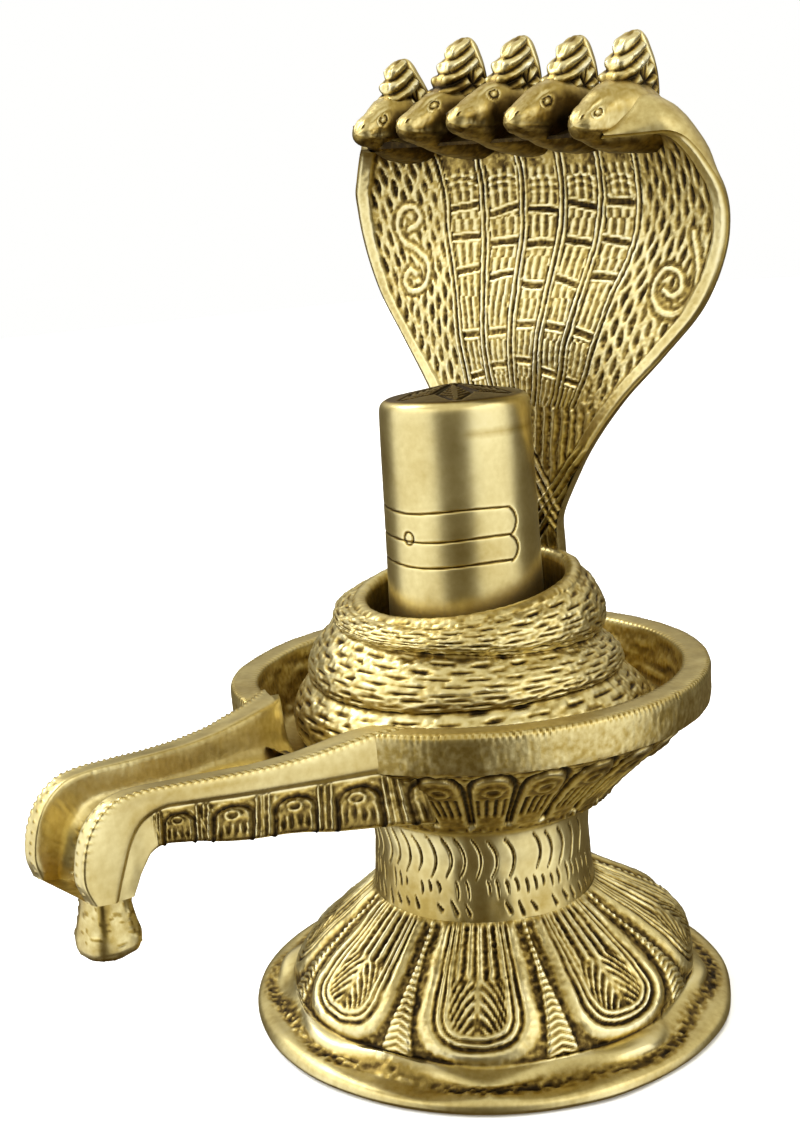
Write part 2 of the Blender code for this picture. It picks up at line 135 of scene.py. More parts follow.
def grain(x, y, seed, period=256):
    """Uneven values from -1 to 1, in lumps one unit of x and y across, repeating in x after the period."""
    chance = np.random.default_rng(seed).uniform(-1.0, 1.0, (512, 256))
    i = np.floor(x).astype(int)
    j = np.floor(y).astype(int)
    u = smooth(x - i)
    v = smooth(y - j)
    i0, i1 = i % period, (i + 1) % period
    j0, j1 = j % 256, (j + 1) % 256
    low = chance[i0, j0] * (1.0 - u) + chance[i1, j0] * u
    high = chance[i0, j1] * (1.0 - u) + chance[i1, j1] * u
    return low * (1.0 - v) + high * v


def ring_grain(turn, lumps, y, seed):
    """Uneven values round a ring, with so many lumps in the full turn, closing without a seam."""
    return grain(turn / FULL_TURN * lumps, y, seed, lumps)


def trace(corners, count, rounding):
    """Even points along the corners, with the corners rounded, and how far along each is."""
    corners = np.array(corners, float)
    steps = np.hypot(*np.diff(corners, axis=0).T)
    length = np.concatenate([[0.0], np.cumsum(steps)])
    along = np.linspace(0.0, length[-1], count)
    line = np.stack([np.interp(along, length, values) for values in corners.T], axis=1)
    for _ in range(rounding):
        line[1:-1] = (line[:-2] + 2.0 * line[1:-1] + line[2:]) / 4.0
    return line, along


def line_distance(x, y, corners, closed=False):
    """Distance of each (x, y) from the line through the corners."""
    corners = list(corners)
    if closed:
        corners.append(corners[0])
    best = np.full(np.shape(x), 1e9)
    for (ax, ay), (bx, by) in zip(corners[:-1], corners[1:]):
        dx, dy = bx - ax, by - ay
        t = np.clip(((x - ax) * dx + (y - ay) * dy) / (dx * dx + dy * dy + 1e-18), 0.0, 1.0)
        best = np.minimum(best, np.hypot(x - ax - t * dx, y - ay - t * dy))
    return best


def turned(azimuth, line):
    """Points of a turned surface: rows along the line of (radius, height), columns at the azimuths, which are
    measured from -Y towards +X."""
    radius = line[:, 0][:, None]
    height = line[:, 1][:, None] + 0.0 * azimuth[None, :]
    return np.stack([radius * np.sin(azimuth)[None, :], -radius * np.cos(azimuth)[None, :], height], axis=2)


def widen(points, share):
    """Moves the points away from the axis by a share of their distance from it."""
    points[:, :, :2] *= 1.0 + share[:, :, None]


def around(columns):
    """Even azimuths all the way round."""
    return np.arange(columns) * FULL_TURN / columns


def soften(values, wrap, times):
    """The values with their fine relief evened out."""
    for _ in range(times):
        if wrap:
            values = (np.roll(values, 1, 1) + values + np.roll(values, -1, 1)) / 3.0
        else:
            side = np.pad(values, ((0, 0), (1, 1)), mode="edge")
            values = (side[:, :-2] + side[:, 1:-1] + side[:, 2:]) / 3.0
        ends = np.pad(values, ((1, 1), (0, 0)), mode="edge")
        values = (ends[:-2] + ends[1:-1] + ends[2:]) / 3.0
    return values


def raised(points, relief, wrap, side):
    """The points moved out along the surface's normal by the relief."""
    if wrap:
        across = np.roll(points, -1, 1) - np.roll(points, 1, 1)
    else:
        across = np.gradient(points, axis=1)
    along = np.gradient(points, axis=0)
    normal = np.cross(across, along) * side
    length = np.linalg.norm(normal, axis=2, keepdims=True)
    return points + normal / np.maximum(length, 1e-12) * relief[:, :, None]


def recess(relief, wrap, reach):
    """How far each place lies under the relief round it, as a share of the range from bare to dark."""
    return 0.5 * (soften(relief, wrap, reach) - relief) / PATINA_DEPTH


def placed(name, data):
    """A new object of the scene that shows the data."""
    made = bpy.data.objects.new(name, data)
    bpy.context.scene.collection.objects.link(made)
    return made


def surface(name, node, points, relief=None, wrap=True, side=1.0, cast=0.0, dark=0.0, reach=6):
    """A fine surface that rides the object: points as rows and columns, its relief, how rough cast it is and
    how much darker than its relief alone makes it."""
    slot = SLOTS[node]
    rows, columns = points.shape[:2]
    if relief is None:
        relief = np.zeros((rows, columns))
    # Darkness for the brass: patina from the relief, plus dark. Dark is the metal's own patina on most parts
    # and painted shade on the heads, the crests' roots, the canopy and under the tray.
    hollow_and_shade = np.clip(0.5 + recess(relief, wrap, reach) + dark, 0.0, 1.0)
    points = raised(points, relief, wrap, side)
    index = np.arange(rows * columns).reshape(rows, columns)
    if wrap:
        index = np.concatenate([index, index[:, :1]], axis=1)
    corners = [index[:-1, :-1], index[:-1, 1:], index[1:, 1:], index[1:, :-1]]
    if side < 0:
        corners.reverse()
    faces = np.stack(corners, axis=2).reshape(-1, 4)
    mesh = bpy.data.meshes.new(name)
    mesh.from_pydata(points.reshape(-1, 3), [], faces)
    mesh.shade_smooth()
    for label, values in (("hollow_and_shade", hollow_and_shade), ("cast", np.broadcast_to(cast, (rows, columns)))):
        layer = mesh.attributes.new(label, "FLOAT", "POINT")
        layer.data.foreach_set("value", np.ascontiguousarray(values, np.float32).ravel())
    mesh.materials.append(MATERIALS[slot])
    made = placed(name, mesh)
    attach(made, "root")
    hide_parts(node)


# Aged brass

def link(tree, source, target):
    tree.links.new(source, target)


def ramp(tree, factor, stops):
    node = tree.nodes.new("ShaderNodeValToRGB")
    while len(node.color_ramp.elements) < len(stops):
        node.color_ramp.elements.new(0.5)
    for element, (place, colour) in zip(node.color_ramp.elements, stops):
        element.position = place
        element.color = (*colour, 1.0)
    link(tree, factor, node.inputs["Fac"])
    return node.outputs["Color"]


def noise(tree, place, scale, detail=3.0, stretch=(1.0, 1.0, 1.0)):
    mapping = tree.nodes.new("ShaderNodeMapping")
    mapping.inputs["Scale"].default_value = stretch
    link(tree, place, mapping.inputs["Vector"])
    node = tree.nodes.new("ShaderNodeTexNoise")
    node.inputs["Scale"].default_value = scale / MM / 1000.0
    node.inputs["Detail"].default_value = detail
    link(tree, mapping.outputs["Vector"], node.inputs["Vector"])
    return node.outputs["Fac"]


def calculate(tree, operation, first, second):
    node = tree.nodes.new("ShaderNodeMath")
    node.operation = operation
    for socket, value in zip(node.inputs, (first, second)):
        if isinstance(value, (int, float)):
            socket.default_value = value
        else:
            link(tree, value, socket)
    return node.outputs["Value"]


def attribute(tree, name):
    node = tree.nodes.new("ShaderNodeAttribute")
    node.attribute_name = name
    return node.outputs["Fac"]


def aged_brass(name, polish, brush):
    """Brass that is pale where hands and the file reach it, brown to umber where its patina sits in sunk
    places, and as dark again where painted shade is laid on it; brush is the direction, as noise stretch, of
    the fine scratches."""
    material = bpy.data.materials.new(name)
    material.use_nodes = True
    tree = material.node_tree
    shader = tree.nodes["Principled BSDF"]
    place = tree.nodes.new("ShaderNodeTexCoord").outputs["Object"]
    hollow_and_shade = attribute(tree, "hollow_and_shade")
    cast = attribute(tree, "cast")
    patches = noise(tree, place, 70.0, 4.0)
    specks = noise(tree, place, 900.0, 4.0)
    scratches = noise(tree, place, 260.0, 4.0, brush)
    uneven = calculate(tree, "MULTIPLY", calculate(tree, "SUBTRACT", patches, 0.5), 0.22)
    speckle = calculate(tree, "MULTIPLY", calculate(tree, "SUBTRACT", specks, 0.5), 0.5)
    speckle = calculate(tree, "MULTIPLY", speckle, calculate(tree, "ADD", cast, 0.12))
    # The colour ramp follows the surfaces' darkness attribute, which holds patina and painted shade, plus
    # uneven patches and specks.
    depth = calculate(tree, "ADD", calculate(tree, "ADD", hollow_and_shade, uneven), speckle)
    colour = ramp(tree, depth, [
        (0.20, (0.88, 0.81, 0.52)),
        (0.47, (0.70, 0.59, 0.26)),
        (0.60, (0.40, 0.285, 0.070)),
        (0.76, (0.12, 0.075, 0.018)),
        (0.92, (0.026, 0.017, 0.007)),
    ])
    link(tree, colour, shader.inputs["Base Color"])
    shader.inputs["Metallic"].default_value = 1.0
    rough = calculate(tree, "MULTIPLY", hollow_and_shade, 0.26)
    rough = calculate(tree, "ADD", rough, calculate(tree, "MULTIPLY", cast, 0.12))
    rough = calculate(tree, "ADD", rough, calculate(tree, "MULTIPLY", scratches, 0.16))
    rough = calculate(tree, "ADD", rough, 0.13 - polish)
    link(tree, rough, shader.inputs["Roughness"])
    fine = tree.nodes.new("ShaderNodeBump")
    fine.inputs["Strength"].default_value = 0.18
    fine.inputs["Distance"].default_value = 0.15 * MM
    link(tree, scratches, fine.inputs["Height"])
    coarse = tree.nodes.new("ShaderNodeBump")
    coarse.inputs["Distance"].default_value = 0.25 * MM
    link(tree, calculate(tree, "MULTIPLY", cast, 0.7), coarse.inputs["Strength"])
    link(tree, specks, coarse.inputs["Height"])
    link(tree, fine.outputs["Normal"], coarse.inputs["Normal"])
    link(tree, coarse.outputs["Normal"], shader.inputs["Normal"])
    return material


UPRIGHT_BRUSH = (1.0, 1.0, 0.25)
TURNED_BRUSH = (0.15, 0.15, 1.0)
MATERIALS = {
    "brass_pedestal": aged_brass("brass_pedestal", 0.01, UPRIGHT_BRUSH),
    "brass_naga": aged_brass("brass_naga", 0.00, UPRIGHT_BRUSH),
    "brass_lingam": aged_brass("brass_lingam", 0.02, TURNED_BRUSH),
}


# Foot with its petals

def petal_relief(azimuth, radius, share):
    """Height of the petals over the foot, and where their furrows are. The share runs from the petals' outer
    end to the neck."""
    pitch = FULL_TURN / PETALS
    phase = (azimuth - PETAL_TURN) / pitch
    phase = phase - np.round(phase)
    across = phase * pitch * radius / MM
    along = share * 23.0 + 0.0 * across
    half = 0.405 * pitch * radius / MM
    end = 8.6
    reach = np.clip((end - along) / end, 0.0, 1.0)
    nest = rounded(np.abs(across) / half, reach, 2.6)
    nest = nest + 0.012 * ring_grain(azimuth, 96, along / 2.2, 5)
    rings = curve([(0.0, -0.04), (0.49, -0.08), (0.535, 0.16), (0.585, -0.34), (0.645, 0.22), (0.705, -0.38),
                   (0.79, 0.30), (0.88, 0.30), (0.96, -0.05), (1.05, -0.50), (1.2, -0.55),
                   (1.6, -0.55)], nest)
    inside = smooth((0.49 - nest) / 0.06)
    barbs = along + 0.5 * np.abs(across) + 0.22 * across ** 2
    palm = np.sin(FULL_TURN * barbs / 1.9) * smooth((np.abs(across) - 0.35) / 0.3)
    flutes = np.sin(FULL_TURN * 11.0 * phase)
    upper = smooth((share - 0.52) / 0.12)
    inner = 0.75 * palm * (1.0 - upper) + flutes * upper
    wedge = (0.5 - np.abs(phase)) * pitch * radius / MM
    stem = 0.55 + 2.6 * np.clip(1.0 - share / 0.75, 0.0, 1.0) ** 1.6
    leaf = smooth((stem - wedge) / 0.5) * smooth(share / 0.05)
    ladder = np.sin(FULL_TURN * (along + 0.4 * wedge) / 1.1)
    worn = 0.7 + 0.45 * ring_grain(azimuth, 40, along / 4.0, 6)
    lift = (rings + 0.38 * inside * inner) * worn + leaf * (0.42 + 0.16 * ladder)
    furrow = smooth(-lift / 0.25)
    sand = ring_grain(azimuth, 320, along / 0.55, 7)
    fade = smooth((1.0 - share) / 0.05)
    return (1.05 * lift + (0.05 + 0.12 * furrow) * sand) * fade * MM, furrow


def build_foot():
    """The foot: its rounded rim, a rough band and a wavy lip, and the petals up to the neck."""
    azimuth = around(640)
    low, _ = trace([(41.0, 0.0), (42.0, 0.6), (42.0, 1.6), (41.5, 2.3), (40.3, 2.7), (38.6, 2.7), (37.3, 3.2),
                    (36.2, 4.0), (35.2, 4.6)], 32, 2)
    high, high_along = trace([(35.2, 4.6), (34.4, 6.6), (32.5, 9.5), (29.2, 12.8), (25.2, 16.2), (21.7, 19.2),
                              (19.4, 21.2)], 80, 3)
    line = np.concatenate([low, high[1:]]) * MM
    points = turned(azimuth, line)
    share = np.concatenate([np.full(len(low), -1.0), high_along[1:] / high_along[-1]])[:, None]
    radius = line[:, 0][:, None]
    turn = azimuth[None, :]
    height = line[:, 1][:, None]
    on_petals = share >= 0.0
    before_petals = share < 0.0
    petals, furrow = petal_relief(turn, radius, np.maximum(share, 0.0))
    wavy = np.cos(PETALS * (turn - PETAL_TURN))
    drift = 1.6 * ring_grain(turn, 17, 0.0 * radius, 8)
    band = bump((radius / MM - 38.4 - 0.6 * wavy - 0.5 * drift) / 1.9) * before_petals
    sand = ring_grain(turn, 300, radius / (0.55 * MM), 3)
    lip = bump((radius / MM - 36.0 - 0.5 * wavy - 0.4 * drift) / 1.9) * before_petals
    broad = ring_grain(turn, 26, radius / (4.0 * MM), 4)
    patchy = 0.8 + 0.5 * ring_grain(turn, 29, radius / (3.0 * MM), 9)
    band = band * patchy
    rough = 0.38 * band * sand + 0.26 * lip * (1.0 + 1.6 * broad) + 0.42 * broad * before_petals
    relief = np.where(on_petals, petals, 0.0) + rough * MM
    relief = relief * smooth(height / (1.2 * MM))
    widen(points, 0.020 * lip * wavy)
    swell = np.sin(math.pi * np.clip(share, 0.0, 1.0))
    full = 0.16 * bump((turn - math.radians(152.0)) / math.radians(75.0)) * swell
    widen(points, full * (height > 4.4 * MM))
    cast = np.where(on_petals, 0.25 + 0.5 * furrow, 0.16 + 0.75 * band)
    dark = np.where(on_petals, 0.03 + 0.16 * furrow, 0.32 * band)
    surface("foot", "yoni_pedestal", points, relief, cast=cast, dark=dark)
    disc = turned(around(96), np.array([(41.3, 0.15), (0.05, 0.15)]) * MM)
    surface("foot_underside", "yoni_pedestal", disc, cast=0.5)


# Neck and the arches under the tray

def stroke(x, y, start, end, bow, width, pointed):
    """1 along a chased stroke from its start to its end, bowed sideways, and 0 away from it. A pointed stroke
    thins out at both ends, the others are widest at their end."""
    (x0, y0), (x1, y1) = start, end
    t = np.clip((y - y0) / (y1 - y0), 0.0, 1.0)
    middle = x0 + (x1 - x0) * t + bow * 4.0 * t * (1.0 - t)
    beyond = np.maximum(np.maximum(np.minimum(y0, y1) - y, y - np.maximum(y0, y1)), 0.0)
    away = np.hypot(x - middle, beyond)
    swell = 0.45 + 0.55 * np.sin(math.pi * np.clip(0.12 + 0.8 * t, 0.0, 1.0)) if pointed else 0.3 + 0.7 * t
    return smooth(1.0 - away / (width * swell))


def neck_strokes(turn, height):
    """The chased rows round the neck: long bowed strokes, short upright ones and wedges at its foot."""
    chance = np.random.default_rng(11)
    girth = 19.2 * MM
    x = turn * girth
    marks = np.zeros(np.broadcast(turn, height).shape)
    # How many, top, bottom, bow and width in the foot's millimetres, share left out, and whether pointed
    rows = ((46, 35.6, 28.6, 1.25, 0.26, 0.10, True), (72, 28.0, 25.4, 0.15, 0.26, 0.12, True),
            (54, 24.4, 22.2, 0.0, 0.44, 0.06, False))
    for count, top, bottom, bow, width, skip, pointed in rows:
        for i in range(count):
            if chance.uniform() < skip:
                continue
            at = (i + chance.uniform(-0.14, 0.14)) * FULL_TURN / count * girth
            start = (at, (top + chance.uniform(-0.7, 0.2)) * MM)
            slant = (0.35 if pointed else 0.75) + chance.uniform(-0.15, 0.15)
            finish = (at + slant * MM, (bottom + chance.uniform(-0.3, 0.7)) * MM)
            close = np.abs(x[0] - at) < 3.5 * MM
            drawn = stroke(x[:, close], height, start, finish, bow * MM, width * MM, pointed)
            marks[:, close] = np.maximum(marks[:, close], drawn)
    return marks


def arch_relief(turn, share):
    """The arches: a plate with a round head in a groove, with an oval ring and upright strokes in it."""
    phase = (turn - ARCH_TURN) * ARCHES / FULL_TURN
    cell = np.round(phase)
    across = (phase - cell) * 2.0
    top = np.clip((share - 0.62) / 0.33, 0.0, 2.0)
    edge = rounded(np.abs(across) / 0.84, top, 2.4)
    groove = bump((edge - 1.06) / 0.22)
    plate = smooth((1.0 - edge) / 0.14)
    ring = bump((np.hypot(across / 0.34, (share - 0.70) / 0.085) - 1.0) / 0.42)
    marks = np.zeros(np.broadcast(turn, share).shape)
    for k in (-1.5, -0.5, 0.5, 1.5):
        tall = bump((share - 0.33) / 0.24)
        place = across - 0.36 * k - 0.05 * np.sin(cell * 2.1 + k)
        marks = np.maximum(marks, bump(place / 0.17) * smooth(3.0 * tall))
    beyond = smooth((edge - 1.15) / 0.2)
    return groove, plate, ring, marks, beyond


def wide_side(turn):
    """How much wider than round the tray is in front at -X, as a share of its radius."""
    return TRAY_WIDENING * bump(away_from(turn, TRAY_WIDE_TURN) / TRAY_WIDE_SPAN)


def build_neck():
    """The neck with its chased rows, the joint under the tray and the arches up to the rim."""
    azimuth = around(600)
    line, along = trace([(19.4, 21.0), (19.0, 25.0), (18.7, 30.5), (19.1, 35.0), (19.4, 36.6), (21.0, 37.6),
                         (23.8, 38.6), (24.3, 39.9), (26.2, 42.0), (30.6, 46.1), (33.6, 48.8), (36.4, 51.3),
                         (38.2, 52.8), (39.4, 53.6), (40.2, 54.3)], 112, 2)
    line = line * MM
    turn = azimuth[None, :]
    height = line[:, 1][:, None]
    points = turned(azimuth, line)
    on_neck = smooth((36.2 * MM - height) / (0.5 * MM))
    marks = neck_strokes(turn, height)
    share = (height - 40.3 * MM) / (12.9 * MM)
    groove, plate, ring, dashes, beyond = arch_relief(turn, share)
    under = smooth((height - 39.6 * MM) / (0.6 * MM)) * smooth((54.0 * MM - height) / (0.4 * MM))
    arches = 0.22 * plate - 0.80 * groove + 0.32 * ring - 0.60 * dashes * plate
    rough = ring_grain(turn, 280, along[:, None] / 0.65, 21)
    arches = arches + beyond * (0.22 * rough - 0.15) + 0.09 * rough
    joint = bump((height - 38.9 * MM) / (1.1 * MM))
    broad = ring_grain(turn, 50, along[:, None] / 3.0, 22)
    relief = (under * arches - on_neck * 0.42 * marks + 0.28 * joint * rough + 0.08 * broad) * MM
    widen(points, wide_side(turn) * smooth((height - NECK_TOP) / (3.0 * MM)))
    cast = 0.06 + 0.45 * under + 0.3 * joint + 0.0 * turn
    low = smooth((33.0 * MM - height) / (12.0 * MM))
    # Darker under the tray and at its joint with the neck: partly the rough cast underside's patina, partly
    # painted shade of the tray's overhang.
    dark = 0.16 * under + 0.15 * joint + 0.32 * on_neck * marks + 0.10 * low
    surface("neck_and_arches", "yoni_pedestal", points, relief, cast=cast, dark=dark)


# Rim and basin of the tray

def mouth_floor(out):
    """Height of the spout channel's floor at a distance in front of the axis, near the basin."""
    return RIM_TOP - curve([(28.0, 10.9), (36.4, 9.6), (43.1, 8.6), (50.8, 7.6)], out / MM) * MM


def spout_flare(out):
    """How much wider than its straight sides the spout is near the tray, outside and in its channel."""
    outer = 3.2 * MM * np.exp((34.0 * MM - out) / (5.0 * MM))
    inner = 4.4 * MM * np.exp((31.7 * MM - out) / (3.0 * MM))
    return np.minimum(outer, 4.5 * MM), np.minimum(inner, 5.0 * MM)


def build_rim():
    """The rim with its hatched edges, the basin's wall and its floor."""
    azimuth = around(1040)
    line, along = trace([(40.15, 54.1), (40.35, 55.0), (40.5, 59.6), (40.2, 60.35), (39.6, 60.4),
                         (36.4, 60.4), (35.9, 60.2), (34.9, 54.0), (34.3, 51.6), (32.8, 49.8), (30.4, 49.1),
                         (24.0, 49.1)], 50, 0)
    line = line * MM
    along = along[:, None]
    turn = azimuth[None, :]
    radius = line[:, 0][:, None]
    points = turned(azimuth, line)
    outer = bump((along - 6.2) / 1.1)
    slots = 250
    slant = turn * slots / FULL_TURN + 0.45 * (along - 6.2)
    uneven = 0.6 + 0.4 * ring_grain(turn, 150, 0.0 * radius, 31)
    hatch = -0.34 * outer * uneven * smooth(np.sin(FULL_TURN * slant) * 1.5)
    inner = bump((along - 10.4) / 0.8)
    hatch = hatch - 0.10 * inner * smooth(np.sin(turn * 190.0) * 1.5)
    side = smooth((5.4 - along) / 0.8)
    wall = smooth((along - 10.8) / 1.5) * smooth((22.0 - along) / 2.0)
    streaks = ring_grain(turn, 60, along * 0.9, 32)
    sand = ring_grain(turn, 420, along / 0.6, 34)
    relief = (hatch + 0.28 * wall * streaks + (0.045 * side + 0.06 * wall) * sand) * MM
    relief = relief + 0.06 * MM * ring_grain(turn, 64, along / 4.0, 33)
    widen(points, wide_side(turn))
    x, y = np.abs(points[:, :, 0]), -points[:, :, 1]
    flare_out, flare_in = spout_flare(y)
    in_front = y > 24.0 * MM
    at_mouth = in_front & (x < 9.3 * MM + flare_in)
    lowered = np.minimum(points[:, :, 2], mouth_floor(y) - 0.5 * MM)
    points[:, :, 2] = np.where(at_mouth, lowered, points[:, :, 2])
    near = smooth((13.9 * MM + flare_out - x) / (1.2 * MM)) * smooth((y - 33.0 * MM) / (1.5 * MM)) * in_front
    points[:, :, 2] -= 0.7 * MM * near * (points[:, :, 2] > 58.0 * MM)
    relief = np.where(at_mouth, 0.0, relief)
    cast = 0.10 + 0.35 * wall + 0.30 * side + 0.0 * turn
    dark = 0.06 * wall + 0.03 * side + 0.03
    surface("tray_rim", "yoni_pedestal", points, relief, cast=cast, dark=dark, reach=4)
    disc = turned(around(96), trace([(24.0, 49.1), (0.05, 49.1)], 3, 0)[0] * MM)
    surface("tray_floor", "yoni_pedestal", disc, cast=0.6, dark=0.2)


# Spout

def spout_lines(share):
    """Along the spout, as (distance along -Y, height): the rail's top, the band's lower edge, the underside
    and the channel's floor, and how far it has narrowed. The share runs from the tray to the tip."""
    places = [0.0, 0.09, 0.18, 0.29, 0.42, 0.54, 0.65, 0.74, 0.82, 0.89, 0.95, 1.0]
    top = [(0.375, 0.0), (0.430, -0.1), (0.510, -0.7), (0.600, -1.1), (0.700, -0.7), (0.800, 0.1),
           (0.880, 0.7), (0.935, 0.2), (0.975, -2.4), (0.995, -6.0), (1.000, -9.8), (0.988, -12.8)]
    band = [(0.375, -5.6), (0.430, -5.4), (0.510, -5.0), (0.600, -4.4), (0.700, -3.5), (0.800, -2.4),
            (0.850, -2.2), (0.885, -3.2), (0.908, -5.4), (0.922, -8.2), (0.936, -11.0), (0.950, -13.4)]
    under = [(0.320, -17.4), (0.410, -16.0), (0.510, -14.4), (0.600, -12.6), (0.700, -11.3), (0.780, -9.5),
             (0.840, -8.3), (0.864, -9.0), (0.878, -10.4), (0.888, -11.6), (0.897, -12.8), (0.908, -13.8)]
    floor = [(0.375, -10.3), (0.430, -9.6), (0.510, -8.6), (0.600, -7.6), (0.700, -6.8), (0.795, -5.9),
             (0.865, -5.3), (0.900, -5.9), (0.920, -7.5), (0.930, -9.6), (0.938, -11.8), (0.945, -13.5)]
    narrowed = [0.0, 0.0, 0.08, 0.30, 0.55, 0.76, 0.90, 0.97, 1.00, 1.00, 0.98, 0.92]
    lines = []
    for stations in (top, band, under, floor):
        out = REACH * curve([(p, s[0]) for p, s in zip(places, stations)], share)
        up = RIM_TOP + MM * curve([(p, s[1]) for p, s in zip(places, stations)], share)
        lines.append(np.stack([out, up], axis=-1))
    return lines, curve(list(zip(places, narrowed)), share)


def spout_relief(side, distance):
    """Relief on one side of the spout: hatching on the rail's edge, and arches and bars in the sunk panel.
    The side runs from the rail's inner edge (0) over its outer edge (1) down the band (2) and the
    panel (3)."""
    distance = distance / MM
    slots = np.sin(FULL_TURN * (distance + 1.6 * side) / 1.15)
    hatch = -0.20 * bump((side - 0.95) / 0.26) * smooth(1.5 * slots) * smooth((60.0 - distance) / 8.0)
    teeth = bump((distance / 1.5 - np.round(distance / 1.5)) / (0.12 + 0.9 * np.clip(side - 0.18, 0.0, 0.4)))
    hatch = hatch - 0.22 * teeth * bump((side - 0.30) / 0.16) * smooth((distance - 46.0) / 3.0)
    cells = (distance - 19.1) / 10.2
    cell = np.round(cells)
    across = (cells - cell) * 2.0
    low = side - 2.0
    across = across + 0.35 * (0.5 - low) * smooth((distance - 20.0) / 15.0)
    arch = rounded(np.abs(across) / 0.60, np.clip((0.50 - low) / 0.26, 0.0, 2.0), 2.4)
    ring = bump((np.hypot(across / 0.24, (low - 0.44) / 0.09) - 1.0) / 0.5)
    dashes = np.maximum(bump((across - 0.14) / 0.10), bump((across + 0.14) / 0.10))
    dashes = np.maximum(dashes, bump((np.abs(across) - 0.40) / 0.09)) * bump((low - 0.72) / 0.22)
    bars = np.maximum(bump((np.abs(across) - 0.80) / 0.09), bump((np.abs(across) - 0.96) / 0.08))
    panel = smooth((low - 0.10) / 0.05) * smooth((0.97 - low) / 0.03)
    panel = panel * smooth((46.0 - distance) / 3.0)
    carving = -0.55 * bump((arch - 1.1) / 0.26) + 0.28 * ring - 0.40 * dashes + 0.38 * bars - 0.22
    return (hatch + panel * carving) * MM, panel


def build_spout():
    """Both halves of the spout, from the middle of the channel over the rail and down to the underside."""
    share = np.linspace(0.0, 1.0, 300)
    (top, band, under, floor), narrowed = spout_lines(share)
    flare_out, flare_in = spout_flare(top[:, 0])
    half = 0.5 * (SPOUT_ROOT + narrowed * (SPOUT_TIP - SPOUT_ROOT)) + flare_out
    channel = CHANNEL_ROOT + narrowed * (CHANNEL_TIP - CHANNEL_ROOT) + flare_in
    distance = np.concatenate([[0.0], np.cumsum(np.hypot(*np.diff(top, axis=0).T))])
    profile = [
        (0.0 * half, floor, -2.0, 4),
        (0.62 * channel, floor, -1.3, 5),
        (0.93 * channel, 0.70 * floor + 0.30 * top, -0.7, 6),
        (1.02 * channel, 0.04 * floor + 0.96 * top, -0.1, 3),
        (1.08 * channel, top, 0.0, 10),
        (0.97 * half, top, 1.0, 3),
        (half, 0.80 * top + 0.20 * band, 1.2, 6),
        (half, band, 2.0, 4),
        (0.955 * half, 0.88 * band + 0.12 * under, 2.1, 26),
        (0.93 * half, 0.08 * band + 0.92 * under, 2.95, 3),
        (0.86 * half, under, 3.0, 3),
        (0.0 * half, under, 4.0, 0),
    ]
    columns, sides = [], []
    for (x0, p0, side0, steps), (x1, p1, side1, _) in zip(profile[:-1], profile[1:]):
        for t in np.arange(steps) / steps:
            x = x0 + (x1 - x0) * t
            p = p0 + (p1 - p0) * t
            columns.append(np.stack([x, -p[:, 0], p[:, 1]], axis=1))
            sides.append(side0 + (side1 - side0) * t)
    columns.append(np.stack([0.0 * half, -under[:, 0], under[:, 1]], axis=1))
    sides.append(4.0)
    right = np.stack(columns, axis=1)
    right[:, 1:-1] = (right[:, :-2] + 2.0 * right[:, 1:-1] + right[:, 2:]) / 4.0
    sides = np.array(sides)[None, :]
    wall_radius = np.where(sides < -0.05, 34.6, 36.3) * MM
    at_wall = np.sqrt(np.maximum(wall_radius ** 2 - right[:, :, 0] ** 2, 0.0))
    right[:, :, 1] = np.where(sides < 2.0, -np.maximum(-right[:, :, 1], at_wall), right[:, :, 1])
    relief, panel = spout_relief(sides, distance[:, None])
    rough = grain(distance[:, None] / (0.6 * MM), sides * 11.0, 41)
    trough = smooth((-0.9 - sides) / 0.3)
    wall = bump((sides + 0.4) / 0.6)
    relief = relief + (0.13 * panel + 0.10 * trough + 0.04 * wall) * rough * MM
    relief = relief + 0.07 * MM * grain(distance[:, None] / (4.0 * MM), sides * 2.0, 42)
    relief = relief * smooth(share[:, None] / 0.02)
    cast = 0.06 + 0.5 * panel + 0.45 * trough + 0.1 * wall
    band_side = smooth((sides - 1.0) / 0.15) * smooth((2.05 - sides) / 0.05)
    dark = 0.16 * panel + 0.06 * trough + 0.03 * band_side
    for name, flip in (("spout_right", 1.0), ("spout_left", -1.0)):
        points = right * np.array([flip, 1.0, 1.0])
        surface(name, "yoni_pedestal", points, relief, wrap=False, side=flip, cast=cast, dark=dark, reach=4)
    build_tip_end(right[-1])
    build_stub()


def build_tip_end(edge):
    """The flat end under the spout's tip."""
    left = edge[::-1] * np.array([-1.0, 1.0, 1.0])
    inner = 0.5 * (edge + edge * np.array([-1.0, 1.0, 1.0]))
    for name, side_points, flip in (("tip_end_right", edge, -1.0), ("tip_end_left", left[::-1], 1.0)):
        points = np.stack([side_points, inner], axis=0)
        surface(name, "yoni_pedestal", points, wrap=False, side=flip, cast=0.4, dark=0.1)


